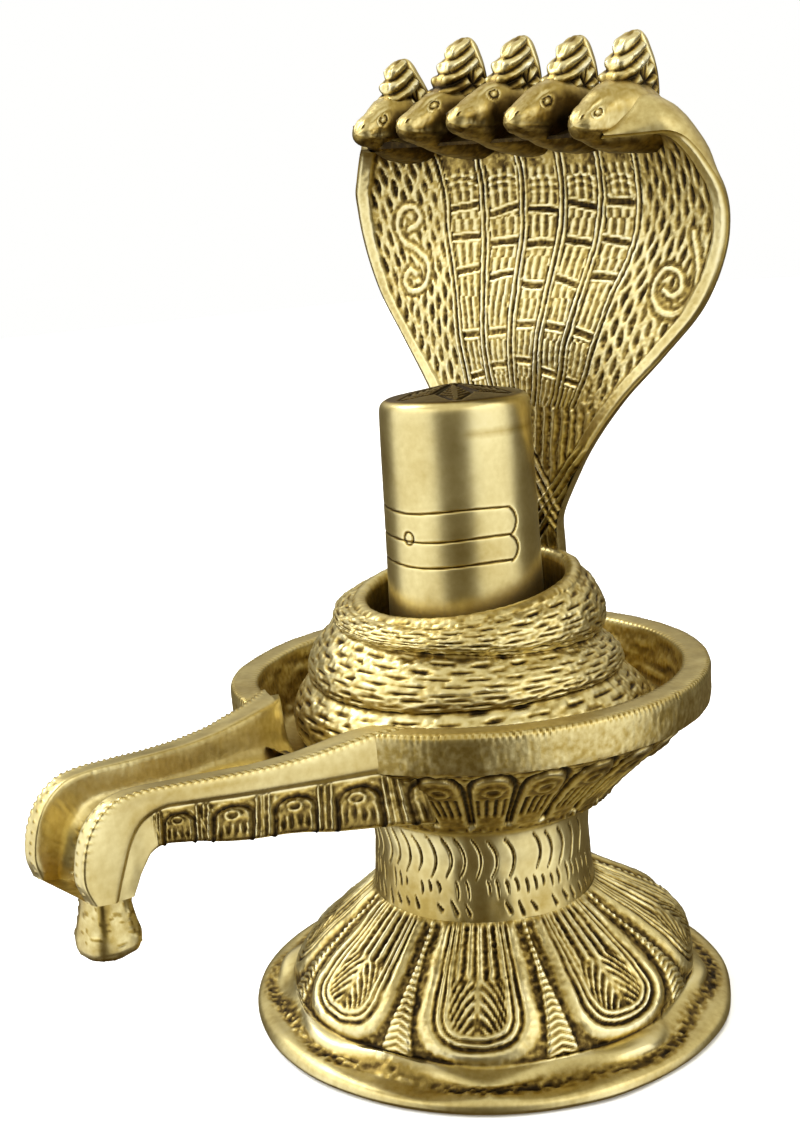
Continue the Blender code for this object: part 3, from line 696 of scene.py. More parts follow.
def build_stub():
    """The knob under the tip: waisted at its top, rounded at its end and folded along one upright crease."""
    columns, rows = 72, 44
    turn = around(columns)[None, :]
    share = np.linspace(0.0, 1.0, rows)[:, None]
    size = curve([(0.0, 0.86), (0.15, 0.80), (0.35, 0.80), (0.60, 0.93), (0.78, 1.03), (0.88, 1.0),
                  (0.95, 0.84), (0.985, 0.55), (1.0, 0.0)], share)
    x = KNOB * size * signed_power(np.sin(turn), 0.80)
    y = KNOB * size * signed_power(np.cos(turn), 0.80)
    z = KNOB_TOP - share * KNOB_HEIGHT + 0.0 * turn
    points = np.stack([x, -0.912 * REACH - y, z], axis=2)
    crease = bump((turn - math.radians(56.0)) / math.radians(26.0)) * smooth((0.97 - share) / 0.5)
    pits = smooth((ring_grain(turn, 40, share * 22.0, 52) - 0.55) / 0.2)
    relief = 0.06 * ring_grain(turn, 24, share * 8.0, 51) - 0.3 * crease - 0.15 * pits
    surface("spout_knob", "yoni_pedestal", points, relief * MM, cast=0.25,
            dark=0.03 + 0.08 * crease * (1.0 - share))


# Lingam

def pillar_lines(turn, height):
    """The engraved lines on the front: three lines closed at both ends by scallops, and a punched ring."""
    x = away_from(turn) * PILLAR
    low = lingam_low.z
    tall = PILLAR_TOP - low
    levels = [low + share * tall for share in (0.514, 0.586, 0.666)]
    span = 1.42 * PILLAR
    sag = 0.3 * MM
    cuts = np.full(np.broadcast(x, height).shape, 1e9)
    for level in levels:
        corners = []
        for t in np.linspace(-1.0, 1.0, 13):
            corners.append((t * span, level + sag * math.sin(5.0 * t + 20.0 * level / PILLAR)))
        cuts = np.minimum(cuts, line_distance(x, height, corners))
    for flip in (-1.0, 1.0):
        for first, second in zip(levels[:-1], levels[1:]):
            corners = []
            for t in np.linspace(0.0, 1.0, 9):
                out = span + 1.5 * MM * math.sin(math.pi * t) ** 0.7
                corners.append((flip * out, first + (second - first) * t))
            cuts = np.minimum(cuts, line_distance(x, height, corners))
    ring = np.abs(np.hypot(x - 0.3 * MM, height - levels[1] - 0.3 * MM) - 1.05 * MM)
    return smooth(1.0 - cuts / (0.24 * MM)), smooth(1.0 - ring / (0.28 * MM))


def cone_leaves(turn, reach):
    """Leaf outlines with hatching on the pillar's cone; the reach is 0 at the apex and 1 at the shoulder."""
    cut = np.zeros(np.broadcast(turn, reach).shape)
    for middle in range(-14, 346, 60):
        x = away_from(turn, math.radians(middle)) * reach
        half = np.minimum(0.44 * reach, 0.68 * (0.98 - reach))
        edge = bump((np.abs(x) - half) / 0.055) * (half > 0.03)
        strokes = smooth(1.6 * np.sin(FULL_TURN * (reach + 0.6 * np.abs(x)) / 0.12))
        strokes = strokes * (np.abs(x) < half - 0.05) * (np.abs(x) > 0.04)
        cut = np.maximum(cut, np.maximum(edge, 0.6 * strokes))
    return cut


def build_lingam():
    """The pillar: its side, with close rows where the engraved lines run, its shoulder and its cone."""
    azimuth = around(320)
    low, tall = lingam_low.z / MM, (lingam_high.z - lingam_low.z) / MM
    wide = PILLAR / MM
    heights = np.concatenate([[0.0, 0.012], np.linspace(0.06, 0.48, 8), np.linspace(0.496, 0.684, 56),
                              np.linspace(0.70, 0.93, 14)])
    widths = np.where(heights < 0.001, 0.97, 1.0 - 0.070 * heights)
    side = np.stack([widths * wide, low + heights * tall], axis=1)
    cone, _ = trace([(0.935 * wide, low + 0.93 * tall), (0.928 * wide, low + 0.947 * tall),
                     (0.900 * wide, low + 0.959 * tall), (0.830 * wide, low + 0.968 * tall),
                     (0.05 * wide, low + 1.0 * tall), (0.002 * wide, low + 1.0 * tall)], 50, 2)
    line = np.concatenate([side, cone[1:]]) * MM
    turn = azimuth[None, :]
    radius = line[:, 0][:, None]
    height = line[:, 1][:, None]
    points = turned(azimuth, line)
    lines, ring = pillar_lines(turn, height)
    on_side = height < (low + 0.94 * tall) * MM
    reach = radius / (0.83 * PILLAR)
    leaves = np.where(on_side | (reach > 1.0), 0.0, cone_leaves(turn, np.clip(reach, 0.0, 1.0)))
    up = (height / MM - low) / tall
    uneven = ring_grain(turn, 22, height / (9.0 * MM), 61)
    brace = bump((up - 0.88) / 0.012) * smooth((np.cos(turn - math.radians(85.0)) - 0.75) / 0.1)
    relief = (-0.30 * lines - 0.32 * ring - 0.32 * leaves + 0.035 * uneven - 0.10 * brace) * MM
    cone_top = smooth((up - 0.962) / 0.006)
    dark = 0.30 * lines + 0.25 * ring + 0.42 * leaves + 0.32 * cone_top
    surface("pillar", "lingam", points, relief, cast=0.03 + 0.25 * cone_top, dark=dark, reach=4)


# Naga: coil

def coil_lap(turns):
    """Height and radius shares of the crease between one turn of the snake and the next, winding up from the
    tail; turns are counted from the back."""
    height = curve([(0.0, 0.34), (0.25, 0.41), (0.5, 0.385), (0.75, 0.45), (1.0, 0.545), (1.25, 0.64),
                    (1.5, 0.735), (1.75, 0.83), (2.0, 0.91), (2.3, 0.93), (3.0, 1.0)], turns)
    radius = curve([(0.0, 0.79), (0.25, 0.82), (0.5, 0.87), (0.8, 0.83), (1.0, 0.74), (1.25, 0.69),
                    (1.5, 0.70), (2.0, 0.64), (3.0, 0.61)], turns)
    return height, radius


def punches(x, row, seed):
    """Depth of long lens shaped scale punches laid in staggered rows, 1 in their middles."""
    index = np.round(row)
    chance = np.random.default_rng(seed).uniform(-1.0, 1.0, (256, 256))
    along = x / (6.6 * MM) + 0.5 * np.mod(index, 2.0) + 0.2 * chance[index.astype(int) % 256, 7]
    cell = np.round(along)
    jitter = chance[cell.astype(int) % 256, index.astype(int) % 256]
    second = chance[(cell.astype(int) + 90) % 256, (index.astype(int) + 40) % 256]
    across = (row - index) * 2.0 + 0.24 * jitter + 0.25 * second * (along - cell)
    length = 0.88 + 0.12 * second
    near = (np.abs(along - cell) * 2.0 / length) ** 1.5 + (np.abs(across) / 0.50) ** 1.5
    return smooth(1.3 * (1.0 - near)) * (0.75 + 0.25 * jitter)


def build_coil():
    """The snake's three turns with their scale punches, and the inside of the coil's hole."""
    azimuth = around(560)
    lap = np.mod((math.pi - azimuth) / FULL_TURN, 1.0)
    first = coil_lap(lap)
    second = coil_lap(lap + 1.0)
    crest = 0.88 + 0.20 * np.cos(0.5 * (azimuth - math.pi)) ** 2
    zero = 0.0 * azimuth
    rows = [(0.925 * COIL + zero, zero)]
    sides = [0.0]
    spans = (((zero, 0.93 + zero), first, 0.062, 34), (first, second, 0.034, 32),
             (second, (crest - 0.02, 0.615 + zero), 0.058, 36))
    for number, (low, high, bulge, steps) in enumerate(spans):
        for t in (np.arange(steps) + 1.0) / steps:
            round_out = math.sin(math.pi * min(t * 1.06, 1.0)) ** 0.8
            side = low[1] + (high[1] - low[1]) * t ** 1.4 + bulge * round_out
            rows.append((side * COIL, (low[0] + (high[0] - low[0]) * t) * COIL_HEIGHT))
            sides.append(number + t)
    lip = ((1.9, 0.004), (1.3, 0.006), (0.7, 0.0), (0.25, -0.02), (0.0, -0.06), (0.0, -0.2), (0.0, -0.87))
    for out, share in lip:
        rows.append((COIL_HOLE + out * MM + zero, (crest * (1.0 + share)) * COIL_HEIGHT))
        sides.append(3.2)
    radius = np.stack([row[0] for row in rows])
    height = np.stack([row[1] for row in rows])
    points = np.stack([radius * np.sin(azimuth), -radius * np.cos(azimuth), SEAT + height], axis=2)
    sides = np.array(sides)[:, None]
    bands = np.clip(np.ceil(sides) - 1.0, 0.0, 3.0)
    turn = azimuth[None, :]
    uneven = ring_grain(turn, 44, sides * 7.0, 72)
    broad = ring_grain(turn, 15, sides * 2.5, 74)
    within = sides - bands
    lane = sides * 8.0 + 0.12 * uneven + 0.2 * broad
    marks = punches(turn * 26.0 * MM + 1.3 * MM * bands, lane, 71)
    inner = sides > 3.0
    top = smooth((2.93 - sides) / 0.08)
    crease = bump(within / 0.08) + bump((1.0 - within) / 0.08) * (sides < 2.5)
    fine = ring_grain(turn, 200, sides * 26.0, 73)
    scratched = smooth((uneven - 0.35) / 0.3)
    carved = -0.56 * marks * top * (1.0 - 0.4 * scratched)
    relief = carved + 0.12 * uneven + 0.20 * broad + 0.13 * fine - 0.16 * crease
    relief = np.where(inner, 0.06 * fine, relief) * MM
    dark = np.where(inner, 0.14 * (radius <= COIL_HOLE + 0.1 * MM), 0.14 * marks + 0.08 * crease + 0.03)
    surface("coil", "naga", points, relief, cast=0.25 + 0.5 * marks * top, dark=dark, reach=5)


# Naga: hood

def hood_line(up):
    """Up the hood from inside the coil (0) to the front edge of its canopy (1): the half width share, and the
    height share and the distance behind the lingam's axis of the centre and of the edge."""
    stations = [
        (0.205, -0.134, 20.0, -0.134, 20.0),
        (0.210, 0.040, 18.2, 0.040, 17.6),
        (0.222, 0.098, 17.6, 0.098, 16.8),
        (0.250, 0.134, 17.8, 0.134, 16.5),
        (0.325, 0.215, 18.4, 0.215, 16.5),
        (0.465, 0.330, 19.1, 0.330, 16.8),
        (0.560, 0.395, 19.1, 0.395, 17.4),
        (0.733, 0.496, 19.1, 0.496, 18.8),
        (0.898, 0.603, 21.0, 0.603, 19.7),
        (0.953, 0.663, 22.5, 0.663, 19.7),
        (0.996, 0.744, 24.2, 0.744, 19.3),
        (1.000, 0.804, 24.6, 0.804, 18.5),
        (0.987, 0.850, 24.5, 0.840, 17.6),
        (0.955, 0.892, 23.9, 0.873, 16.8),
        (0.915, 0.928, 22.8, 0.908, 15.8),
        (0.870, 0.948, 20.4, 0.935, 14.6),
        (0.830, 0.950, 17.8, 0.945, 13.4),
        (0.790, 0.948, 15.4, 0.945, 12.0),
        (0.730, 0.944, 12.8, 0.942, 9.6),
        (0.640, 0.940, 10.3, 0.940, 7.6),
    ]
    table = np.array(stations)
    edge = np.stack([table[:, 0] * HOOD_HALF, table[:, 3] * HOOD_HEIGHT, table[:, 4] * MM], axis=1)
    steps = np.linalg.norm(np.diff(edge, axis=0), axis=1)
    places = np.concatenate([[0.0], np.cumsum(steps)])
    places = places / places[-1]
    return [curve(list(zip(places, table[:, k])), up) for k in range(5)]


def leaned(points):
    """The hood's points leaned towards +X about a level a little over the middle of its height."""
    pivot = COIL_TOP + 0.60 * HOOD_HEIGHT
    x, z = points[..., 0], points[..., 2] - pivot
    cos, sin = math.cos(HOOD_LEAN), math.sin(HOOD_LEAN)
    return np.stack([x * cos + z * sin, points[..., 1], -x * sin + z * cos + pivot], axis=-1)


def hood_cells(x, z, zone):
    """The hood's five middle columns: upright strokes between thin double bars, parted by double ribs."""
    phase = (x / zone + 1.0) * 2.5
    from_rib = (phase - np.round(phase)) * zone * 0.4
    rib = bump((np.abs(from_rib) - 0.014) / 0.012)
    column = np.clip(np.floor(phase), 0, 4)
    place = (phase - column) * 2.0 - 1.0
    middle = column - 2.0
    rise = 0.03 * np.abs(middle) + 0.02 * np.sin(3.0 * middle)
    bar = np.zeros_like(x)
    gap = np.zeros_like(x)
    for k, level in enumerate((2.30, 2.46, 2.62, 2.79, 2.95, 3.10, 3.24)):
        shift = z - level - rise * (0.6 if k > 3 else -0.9) - 0.012 * np.sin(5.0 * column + 2.0 * k)
        shift = shift + 0.012 * place * np.sign(middle) + 0.006 * np.sin(8.0 * x + 3.0 * k)
        bar = np.maximum(bar, bump((np.abs(shift) - 0.017) / 0.011))
        gap = np.maximum(gap, smooth((0.030 - np.abs(shift)) / 0.010))
    scallop = z - 3.375 + 0.03 * place ** 2 + 0.006 * middle
    arc = np.maximum(bump((np.abs(scallop) - 0.014) / 0.012), 0.6 * bump((scallop + 0.045) / 0.012))
    lines = place * 4.6 + 0.35 * np.sin(9.0 * z + 2.0 * column)
    lines = lines + 0.5 * np.sin(23.0 * np.round(z / 0.165) + column)
    hatch = smooth(0.5 + 0.9 * np.cos(math.pi * lines)) * (1.0 - gap)
    above = smooth((z - 3.41) / 0.03)
    cells = 0.30 * hatch + 0.36 * bar - 0.22 * gap * (1.0 - bar) + 0.34 * arc
    cells = cells * (1.0 - above) + above * 0.16 * np.sin(40.0 * x)
    return np.where(np.abs(from_rib) < 0.028, 0.42 * rib - 0.30 * (1.0 - rib), cells)


def hood_net(x, z, zone):
    """The scale net at both sides of the hood: long narrow pits in staggered rows that follow its edge."""
    flow = np.abs(x) - zone
    lane = flow / 0.039 + 0.25 * np.sin(7.0 * z)
    index = np.round(lane)
    chance = np.random.default_rng(88).uniform(-1.0, 1.0, (256, 256))
    beads = z / 0.112 + 0.5 * np.mod(index, 2.0) + 0.3 * flow + 0.15 * chance[index.astype(int) % 256, 3]
    bead = np.round(beads)
    jitter = chance[bead.astype(int) % 256, index.astype(int) % 256]
    pit = (np.abs(lane - index + 0.06 * jitter) * 2.0 / 0.86) ** 1.5
    pit = pit + (np.abs(beads - bead) * 2.0 / (0.92 + 0.08 * jitter)) ** 1.5
    return 0.18 - 0.48 * smooth(1.3 * (1.0 - pit)) * (0.9 + 0.2 * jitter)


def scroll_line(x, z, points):
    """Distance from a smooth curl through the points."""
    points = np.array(points, float)
    knots = np.arange(len(points))
    along = np.linspace(0.0, len(points) - 1.0, 6 * len(points))
    smooth_x = curve(list(zip(knots, points[:, 0])), along)
    smooth_z = curve(list(zip(knots, points[:, 1])), along)
    return line_distance(x, z, list(zip(smooth_x, smooth_z)))


def hood_scrolls(x, z):
    """The scrolls in the net: an S on the right side of the hood as it faces, a hook on its left."""
    s_curl = [(-0.72, 3.17), (-0.68, 3.19), (-0.66, 3.23), (-0.70, 3.27), (-0.76, 3.25), (-0.78, 3.18),
              (-0.74, 3.11), (-0.66, 3.07), (-0.60, 3.01), (-0.61, 2.93), (-0.68, 2.90), (-0.73, 2.94),
              (-0.71, 2.99), (-0.67, 2.98)]
    hook = [(0.68, 2.93), (0.72, 2.91), (0.76, 2.94), (0.74, 3.00), (0.67, 3.01), (0.63, 2.95), (0.65, 2.88),
            (0.72, 2.85), (0.79, 2.88), (0.83, 2.96), (0.83, 3.06), (0.80, 3.15)]
    away = np.minimum(scroll_line(x, z, s_curl), scroll_line(x, z, hook))
    return bump((away - 0.004) / 0.014), smooth((0.036 - away) / 0.012)


def hood_relief(x, z):
    """Relief of the hood's front, from x and the height, both in foot radii, and how deep each place is sunk.
    """
    x = x + 0.005 * grain(x / 0.16, z / 0.10, 84) + 0.0015 * grain(x / 0.05, z / 0.05, 85)
    z = z + 0.008 * grain(x / 0.14, z / 0.14, 86) + 0.002 * grain(x / 0.05, z / 0.04, 87)
    zone = curve([(2.1, 0.10), (2.3, 0.18), (2.46, 0.28), (2.67, 0.36), (2.88, 0.42), (3.15, 0.515),
                  (3.4, 0.53), (3.7, 0.54)], z)
    at_sides = smooth((np.abs(x) - zone - 0.012) / 0.01)
    curl, bare = hood_scrolls(x, z)
    side_field = hood_net(x, z, zone) * (1.0 - bare) + bare * (0.42 * curl - 0.10)
    field = hood_cells(x, z, zone) * (1.0 - at_sides) + side_field * at_sides
    low = smooth((2.46 - z) / 0.03)
    straps = np.zeros_like(x)
    gaps = np.zeros_like(x)
    for slope, middle in ((-1.0, 2.24), (1.0, 1.86)):
        away = slope * x * 1.15 - (z - middle)
        gaps = np.maximum(gaps, smooth((0.10 - np.abs(away)) / 0.02))
        for offset in (-0.055, 0.0, 0.055):
            straps = np.maximum(straps, bump((away + offset) / 0.024))
    flutes = 0.24 * np.sin(FULL_TURN * x / 0.05 + 1.5 * grain(x / 0.08, z / 0.10, 81))
    stem = flutes * (1.0 - gaps) + (1.0 * straps - 0.35) * gaps
    field = field * (1.0 - low) + stem * low
    return field, np.clip(0.25 - field, 0.0, 1.0)


def hood_sheet(up, across):
    """The hood's plain front as x, y and z, then the half width share, and the height share and the distance
    behind the axis of its middle."""
    width, mid_z, mid_y, edge_z, edge_y = [values[:, None] for values in hood_line(up)]
    square = across * across
    x = across * width * HOOD_HALF
    y = (mid_y + (edge_y - mid_y) * square) * MM
    z = COIL_TOP + (mid_z + (edge_z - mid_z) * square) * HOOD_HEIGHT
    return x, y, z, width, mid_z, mid_y


def build_hood():
    """The hood's front from inside the coil up to the canopy's front edge, with its smooth raised rim."""
    turn = np.linspace(-1.0, 1.0, 236)[None, :]
    across = 0.75 * turn + 0.25 * np.sin(turn * math.radians(72.0)) / math.sin(math.radians(72.0))
    x, y, z, width, mid_z, _ = hood_sheet(np.linspace(0.0, 1.0, 320), across)
    field, hollow_and_shade = hood_relief(x / FOOT, z / FOOT)
    inside = (1.0 - np.abs(across)) * width * HOOD_HALF
    rim = smooth((3.6 * MM - inside) / (0.9 * MM)) * smooth((z - COIL_TOP - 0.22 * HOOD_HEIGHT) / (6.0 * MM))
    canopy = smooth((mid_z - 0.925) / 0.02)
    plain = np.maximum(rim, canopy)
    rough = grain(x / (0.45 * MM), z / (0.45 * MM), 82)
    broad = grain(x / (5.0 * MM), z / (5.0 * MM), 89)
    carved = field * (0.85 + 0.35 * broad) + rough * (0.03 + 0.22 * hollow_and_shade)
    closing = smooth(inside / (0.8 * MM))
    relief = (carved * 0.95 * (1.0 - plain) + 0.50 * rim * closing + 0.04 * rough * closing) * MM
    cast = np.clip(0.20 + 0.8 * hollow_and_shade, 0.0, 1.0) * (1.0 - plain) + 0.08 + 0.25 * canopy * (1.0 - rim)
    # Painted shade: the hood darkens towards its top and on the canopy's underside, where the canopy and the
    # heads overhang it. The darkening that follows the carving's depth is patina.
    shade = smooth((z / FOOT - 2.95) / 0.5)
    dark = (0.24 * hollow_and_shade + 0.08 * shade) * (1.0 - plain) + 0.20 * canopy * (1.0 - rim) + 0.02
    front = raised(np.stack([x, y, z], axis=2), relief, False, 1.0)
    surface("hood_front", "naga", leaned(front), wrap=False, cast=cast,
            dark=dark + recess(relief, False, 5))
    build_hood_back()


def build_hood_back():
    """The back of the hood and its edges, plain but for a spine and faint lines."""
    up = np.linspace(0.0, 1.0, 110)
    across = np.sin(np.linspace(-1.0, 1.0, 64)[None, :] * math.pi / 2.0)
    x, y, z, _, mid_z, mid_y = hood_sheet(up, across)
    front = np.stack([x, y, z], axis=2)
    along = np.gradient(front, axis=0)
    normal = np.stack([0.0 * x, along[:, :, 2], -along[:, :, 1]], axis=2)
    normal = normal / np.linalg.norm(normal, axis=2, keepdims=True)
    depth = np.sqrt(np.clip(1.0 - np.abs(across) ** 9.0, 0.0, 1.0))
    at_edge = smooth((np.abs(across) - 0.62) / 0.2)
    forward = smooth((mid_z - 0.92) / 0.03) * smooth((22.8 - mid_y) / 7.0)
    thick = HOOD_THICK * (1.4 - 0.4 * across ** 2) * (1.0 - 0.6 * forward * (1.0 - at_edge))
    thick = thick + 2.4 * MM * at_edge * smooth((mid_z - 0.86) / 0.06)
    taper = 1.0 - 0.8 * smooth((mid_z - 0.92) / 0.02) * smooth((17.0 - mid_y) / 6.5)
    back = front + normal * (thick * depth * taper)[:, :, None]
    spine = bump(across / 0.06) * smooth((0.85 - up[:, None]) / 0.1)
    ripple = grain(across * 9.0, up[:, None] * 26.0, 83)
    relief = (0.7 * spine + 0.12 * ripple) * MM * smooth((1.0 - np.abs(across)) / 0.1)
    # Painted shade: the canopy's top among the heads and crests is darkened, away from its edges.
    surface("hood_back", "naga", leaned(back), relief, wrap=False, side=-1.0, cast=0.25,
            dark=0.03 + 0.36 * forward * (1.0 - at_edge))
    # Painted shade: the canopy's front edge under the heads and the hood's foot inside the coil are painted
    # dark.
    for name, row, flip in (("hood_front_edge", -1, 1.0), ("hood_foot", 0, -1.0)):
        strip = np.stack([leaned(front[row]), leaned(back[row])], axis=0)
        surface(name, "naga", strip, wrap=False, side=flip, cast=0.4, dark=0.4)


# Naga: heads and crests

def head_places():
    """Each head's number, its middle in x, its shortening and lift, its eye's place, and its crest's two
    shifts; the shortening, the lift and the shifts are shares of a head's length."""
    lifts = (0.020, 0.033, 0.050, 0.025, -0.025)
    eyes = ((0.21, 0.36), (0.26, 0.27), (0.32, 0.26), (0.27, 0.34), (0.15, 0.36))
    crests = ((0.205, 0.100), (0.060, -0.012), (0.025, 0.020), (0.030, 0.066), (0.072, 0.080))
    places = []
    for i in range(HEADS):
        x = (i - 0.5 * (HEADS - 1)) * HEAD_SPACING - 0.8 * MM
        places.append((i, x, 0.017 * (i - 0.5 * (HEADS - 1)) ** 2, lifts[i], eyes[i], crests[i]))
    return places


def build_head(number, x, shorter, lift, eye):
    """A rounded snout with two pits and ringed eyes under brows, running back into the hood; the outermost
    ones widen into the hood's rim."""
    columns, rows = 76, 74
    turn = around(columns)[None, :]
    out = (np.linspace(0.0, 1.0, rows)[:, None]) ** 1.7
    dome = np.sqrt(np.clip(1.0 - (1.0 - np.clip(out / 0.085, 0.0, 1.0)) ** 2, 0.0, 1.0))
    low = curve([(0.0, -0.120), (0.06, -0.130), (0.142, -0.150), (0.283, -0.188), (0.429, -0.225),
                 (0.658, -0.242), (0.867, -0.240), (1.0, -0.220)], out)
    high = curve([(0.0, 0.010), (0.06, 0.042), (0.142, 0.086), (0.283, 0.168), (0.429, 0.225), (0.658, 0.225),
                  (0.867, 0.167), (1.0, 0.020)], out)
    half = curve([(0.0, 0.080), (0.06, 0.092), (0.142, 0.112), (0.283, 0.140), (0.429, 0.170), (0.658, 0.196),
                  (1.0, 0.205)], out)
    side = dome * half * signed_power(np.sin(turn), 0.9)
    outer = {0: -1.0, HEADS - 1: 1.0}.get(number, 0.0)
    outward = np.maximum(outer * np.sin(turn), 0.0)
    flare = 0.10 * smooth((out - 0.20) / 0.40) * smooth((1.10 - out) / 0.35)
    side = side + outer * flare * outward
    rise = 0.5 * (low + high) + 0.5 * dome * (high - low) * signed_power(np.cos(turn), 0.9)
    lifted = lift * (1.0 - smooth((out - 0.3) / 0.6)) - 0.07 * outward * smooth((out - 0.35) / 0.5)
    points = np.stack([x + side * HEAD_LENGTH,
                       SNOUT_BACK + (shorter + out * (1.0 - 3.0 * shorter)) * HEAD_LENGTH + 0.0 * turn,
                       HEADS_LINE + (rise + lifted) * HEAD_LENGTH], axis=2)
    arc = np.abs(away_from(turn)) / math.pi
    across = np.hypot((out - eye[0]) / 0.044, (arc - eye[1]) / 0.070)
    ball = smooth((0.62 - across) / 0.35)
    socket = bump((across - 0.84) / 0.24)
    lid = bump((across - 1.22) / 0.28)
    brow = bump((arc - eye[1] + 0.155 - 0.5 * np.abs(out - eye[0])) / 0.05) * bump((out - eye[0]) / 0.14)
    mouth = bump((arc - 0.64) / 0.04) * smooth((0.40 - out) / 0.2) * smooth((out - 0.05) / 0.05)
    pit = smooth(1.0 - np.hypot((out - 0.035) / 0.022, (arc - 0.24) / 0.07))
    uneven = ring_grain(turn, 14, out * 11.0, 90 + number)
    sand = ring_grain(turn, 60, out * 60.0, 95 + number)
    relief = 0.20 * ball - 0.26 * socket + 0.22 * lid + 0.30 * brow - 0.12 * mouth - 0.40 * pit
    relief = (relief + 0.16 * uneven + 0.04 * sand) * dome * MM
    # Partly painted shade: the underside is darkened for its rough cast patina and for the shade under the
    # head. The sides towards the next head are darkened as painted shade. Sockets, pits and the mouth are
    # patina in the carving.
    below = smooth((arc - 0.58) / 0.14)
    between = bump((arc - 0.50) / 0.36) * smooth((out - 0.16) / 0.22) * (1.0 - outward)
    cast = 0.08 + 0.35 * below
    dark = 0.04 + 0.16 * below + 0.12 * socket + 0.2 * pit + 0.1 * mouth + 0.34 * between
    surface(f"head_{number + 1}", "naga", leaned(points), relief, side=-1.0, cast=cast, dark=dark, reach=4)


def crest_edge(count):
    """The crest's outline, as shares of a head's length behind the snouts and over their line."""
    corners = [(0.34, 0.12), (0.380, 0.185), (0.450, 0.295), (0.545, 0.440), (0.650, 0.560), (0.735, 0.612),
               (0.810, 0.617), (0.865, 0.575), (0.897, 0.470), (0.908, 0.167), (0.617, 0.083), (0.34, 0.12)]
    return trace(corners, count, 4)[0]


def build_crest(number, x, forward, drop):
    """A flame shaped crest: a blade that thins to its tip, ridged on both sides and smooth behind."""
    edge = crest_edge(112)
    turn = np.linspace(0.0, 1.0, 58)
    scale = np.clip(np.sin(math.pi * turn), 0.0, 1.0)[:, None] ** 0.42
    thick = signed_power(-np.cos(math.pi * turn), 0.75)[:, None]
    middle_out, middle_up = 0.679, 0.271
    out = middle_out + scale * (edge[:, 0] - middle_out)[None, :]
    up = middle_up + scale * (edge[:, 1] - middle_up)[None, :]
    swell = 0.114 * (1.0 - 0.45 * smooth((up - 0.30) / 0.34))
    swept = forward * (0.3 + 0.7 * smooth((up - 0.2) / 0.4))
    points = np.stack([x + thick * swell * HEAD_LENGTH,
                       SNOUT_BACK + (out - swept) * HEAD_LENGTH,
                       HEADS_LINE + (up - drop) * HEAD_LENGTH], axis=2)
    back_edge = 0.90 - 0.20 * (up - 0.2) - out
    on_side = smooth((np.abs(thick) - 0.15) / 0.3)
    on_front = smooth((back_edge - 0.05) / 0.03)
    slant = up - 0.42 * (out - 0.6) - 0.5 * (out - 0.6) ** 2
    waves = np.abs(np.sin(math.pi * slant / 0.078)) * 2.0 - 1.0
    border = bump((back_edge - 0.055) / 0.022)
    relief = (0.50 * waves * on_front - 0.5 * border) * (0.12 + 0.88 * on_side)
    uneven = grain(out * 22.0, up * 22.0, 100 + number)
    relief = (relief + 0.14 * uneven * on_front) * MM
    # Painted shade: the crest darkens at its root, where it meets the head. The border groove and the ridges'
    # troughs are patina.
    shaded_root = smooth((0.26 - up + 0.2 * out) / 0.08)
    dark = 0.12 * border * on_side + 0.22 * on_front * smooth(-waves) + 0.28 * shaded_root
    surface(f"crest_{number + 1}", "naga", leaned(points), relief, wrap=False, side=-1.0,
            cast=0.12 + 0.25 * on_front, dark=dark, reach=3)


# Studio

def build_studio():
    """The pale floor, which the brass doesn't mirror."""
    mesh = bpy.data.meshes.new("floor")
    wide = 3.0
    mesh.from_pydata([(-wide, -wide, 0.0), (wide, -wide, 0.0), (wide, wide, 0.0), (-wide, wide, 0.0)], [],
                     [(0, 1, 2, 3)])
    floor = placed("floor", mesh)
    pale = bpy.data.materials.new("pale_floor")
    pale.use_nodes = True
    shader = pale.node_tree.nodes["Principled BSDF"]
    shader.inputs["Base Color"].default_value = (0.86, 0.86, 0.85, 1.0)
    shader.inputs["Roughness"].default_value = 0.7
    mesh.materials.append(pale)
    floor.visible_glossy = False
    bpy.context.scene.view_settings.view_transform = "Standard"


def build_world():
    """A pale surround for the camera; the brass sees a dimmer one that brightens upward."""
    world = bpy.data.worlds.new("studio")
    bpy.context.scene.world = world
    world.use_nodes = True
    tree = world.node_tree
    pale = tree.nodes["Background"]
    pale.inputs["Color"].default_value = (1.0, 1.0, 0.99, 1.0)
    pale.inputs["Strength"].default_value = 1.0
    dim = tree.nodes.new("ShaderNodeBackground")
    direction = tree.nodes.new("ShaderNodeTexCoord").outputs["Generated"]
    parts = tree.nodes.new("ShaderNodeSeparateXYZ")
    link(tree, direction, parts.inputs["Vector"])
    lift = calculate(tree, "MULTIPLY", calculate(tree, "ADD", parts.outputs["Z"], 1.0), 0.5)
    shade = ramp(tree, lift, [
        (0.00, (0.12, 0.085, 0.040)),
        (0.42, (0.14, 0.115, 0.065)),
        (0.58, (0.15, 0.13, 0.09)),
        (0.75, (0.85, 0.80, 0.68)),
        (1.00, (0.95, 0.92, 0.82)),
    ])
    link(tree, shade, dim.inputs["Color"])
    rays = tree.nodes.new("ShaderNodeLightPath")
    mix = tree.nodes.new("ShaderNodeMixShader")
    link(tree, rays.outputs["Is Camera Ray"], mix.inputs["Fac"])
    link(tree, dim.outputs["Background"], mix.inputs[1])
    link(tree, pale.outputs["Background"], mix.inputs[2])
    link(tree, mix.outputs["Shader"], tree.nodes["World Output"].inputs["Surface"])


def aim(thing, target):
    thing.rotation_euler = (target - thing.location).to_track_quat("-Z", "Y").to_euler()


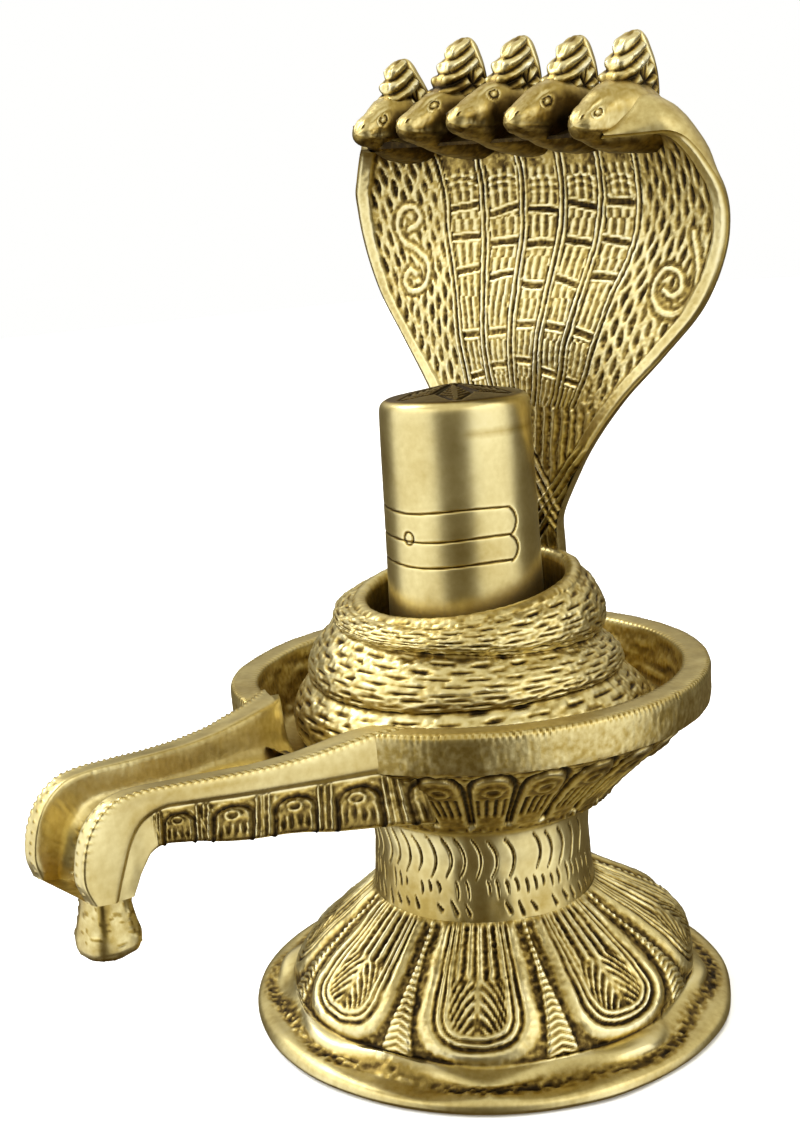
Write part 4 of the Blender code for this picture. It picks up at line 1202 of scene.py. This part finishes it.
def soft_light(name, azimuth, elevation, distance, width, height, watts):
    """A soft box that points at the object: its azimuth is measured from -Y towards +X, in degrees."""
    data = bpy.data.lights.new(name, "AREA")
    data.shape = "RECTANGLE"
    data.size = width
    data.size_y = height
    data.energy = watts
    data.color = (0.93, 0.975, 1.14)
    lamp = placed(name, data)
    turn, lift = math.radians(azimuth), math.radians(elevation)
    centre = Vector((0.0, 0.0, 0.09))
    away = Vector((math.sin(turn) * math.cos(lift), -math.cos(turn) * math.cos(lift), math.sin(lift)))
    lamp.location = centre + away * distance
    lamp.visible_camera = False
    aim(lamp, centre)


def floor_light():
    """Even light, mostly for the floor: the brass doesn't mirror it."""
    data = bpy.data.lights.new("floor_light", "SUN")
    data.energy = 4.2
    data.angle = math.radians(70.0)
    lamp = placed("floor_light", data)
    lamp.rotation_euler = (math.radians(12.0), math.radians(-10.0), 0.0)
    lamp.visible_glossy = False


def build_camera():
    """The camera stands where the photo was taken from: on the object's front right, a little over it."""
    distance, height = 6.003 * FOOT, 3.117 * FOOT
    pitch, yaw, roll = math.radians(9.5606), math.radians(-4.7461), math.radians(-4.4247)
    around_z = Matrix.Rotation(math.radians(44.0), 3, "Z")
    forward = Vector((math.sin(yaw) * math.cos(pitch), math.cos(yaw) * math.cos(pitch), -math.sin(pitch)))
    right = Vector((math.cos(yaw), -math.sin(yaw), 0.0))
    up = right.cross(forward)
    level = around_z @ (right * math.cos(roll) + up * math.sin(roll))
    upright = around_z @ (-right * math.sin(roll) + up * math.cos(roll))
    view = Matrix((level, upright, -(around_z @ forward))).transposed().to_4x4()
    view.translation = around_z @ Vector((0.0, -distance, height))
    data = bpy.data.cameras.new("photo_view")
    data.sensor_fit = "VERTICAL"
    data.sensor_width = 36.0
    data.sensor_height = 36.0
    data.lens = 47.15
    data.shift_x = 0.0543
    data.shift_y = -0.0542
    camera = placed("photo_view", data)
    camera.matrix_world = view
    bpy.context.scene.camera = camera


build_foot()
build_neck()
build_rim()
build_spout()
build_lingam()
build_coil()
build_hood()
for number, x, shorter, lift, eye, (forward, drop) in head_places():
    build_head(number, x, shorter, lift, eye)
    build_crest(number, x, forward, drop)
build_studio()
build_world()
soft_light("left_box", -27.0, 0.0, 0.60, 0.96, 1.20, 5.2)
soft_light("right_box", 98.0, 0.0, 0.60, 0.78, 1.20, 4.3)
soft_light("high_box", -70.0, 50.0, 0.80, 0.35, 0.35, 2.4)
floor_light()
build_camera()
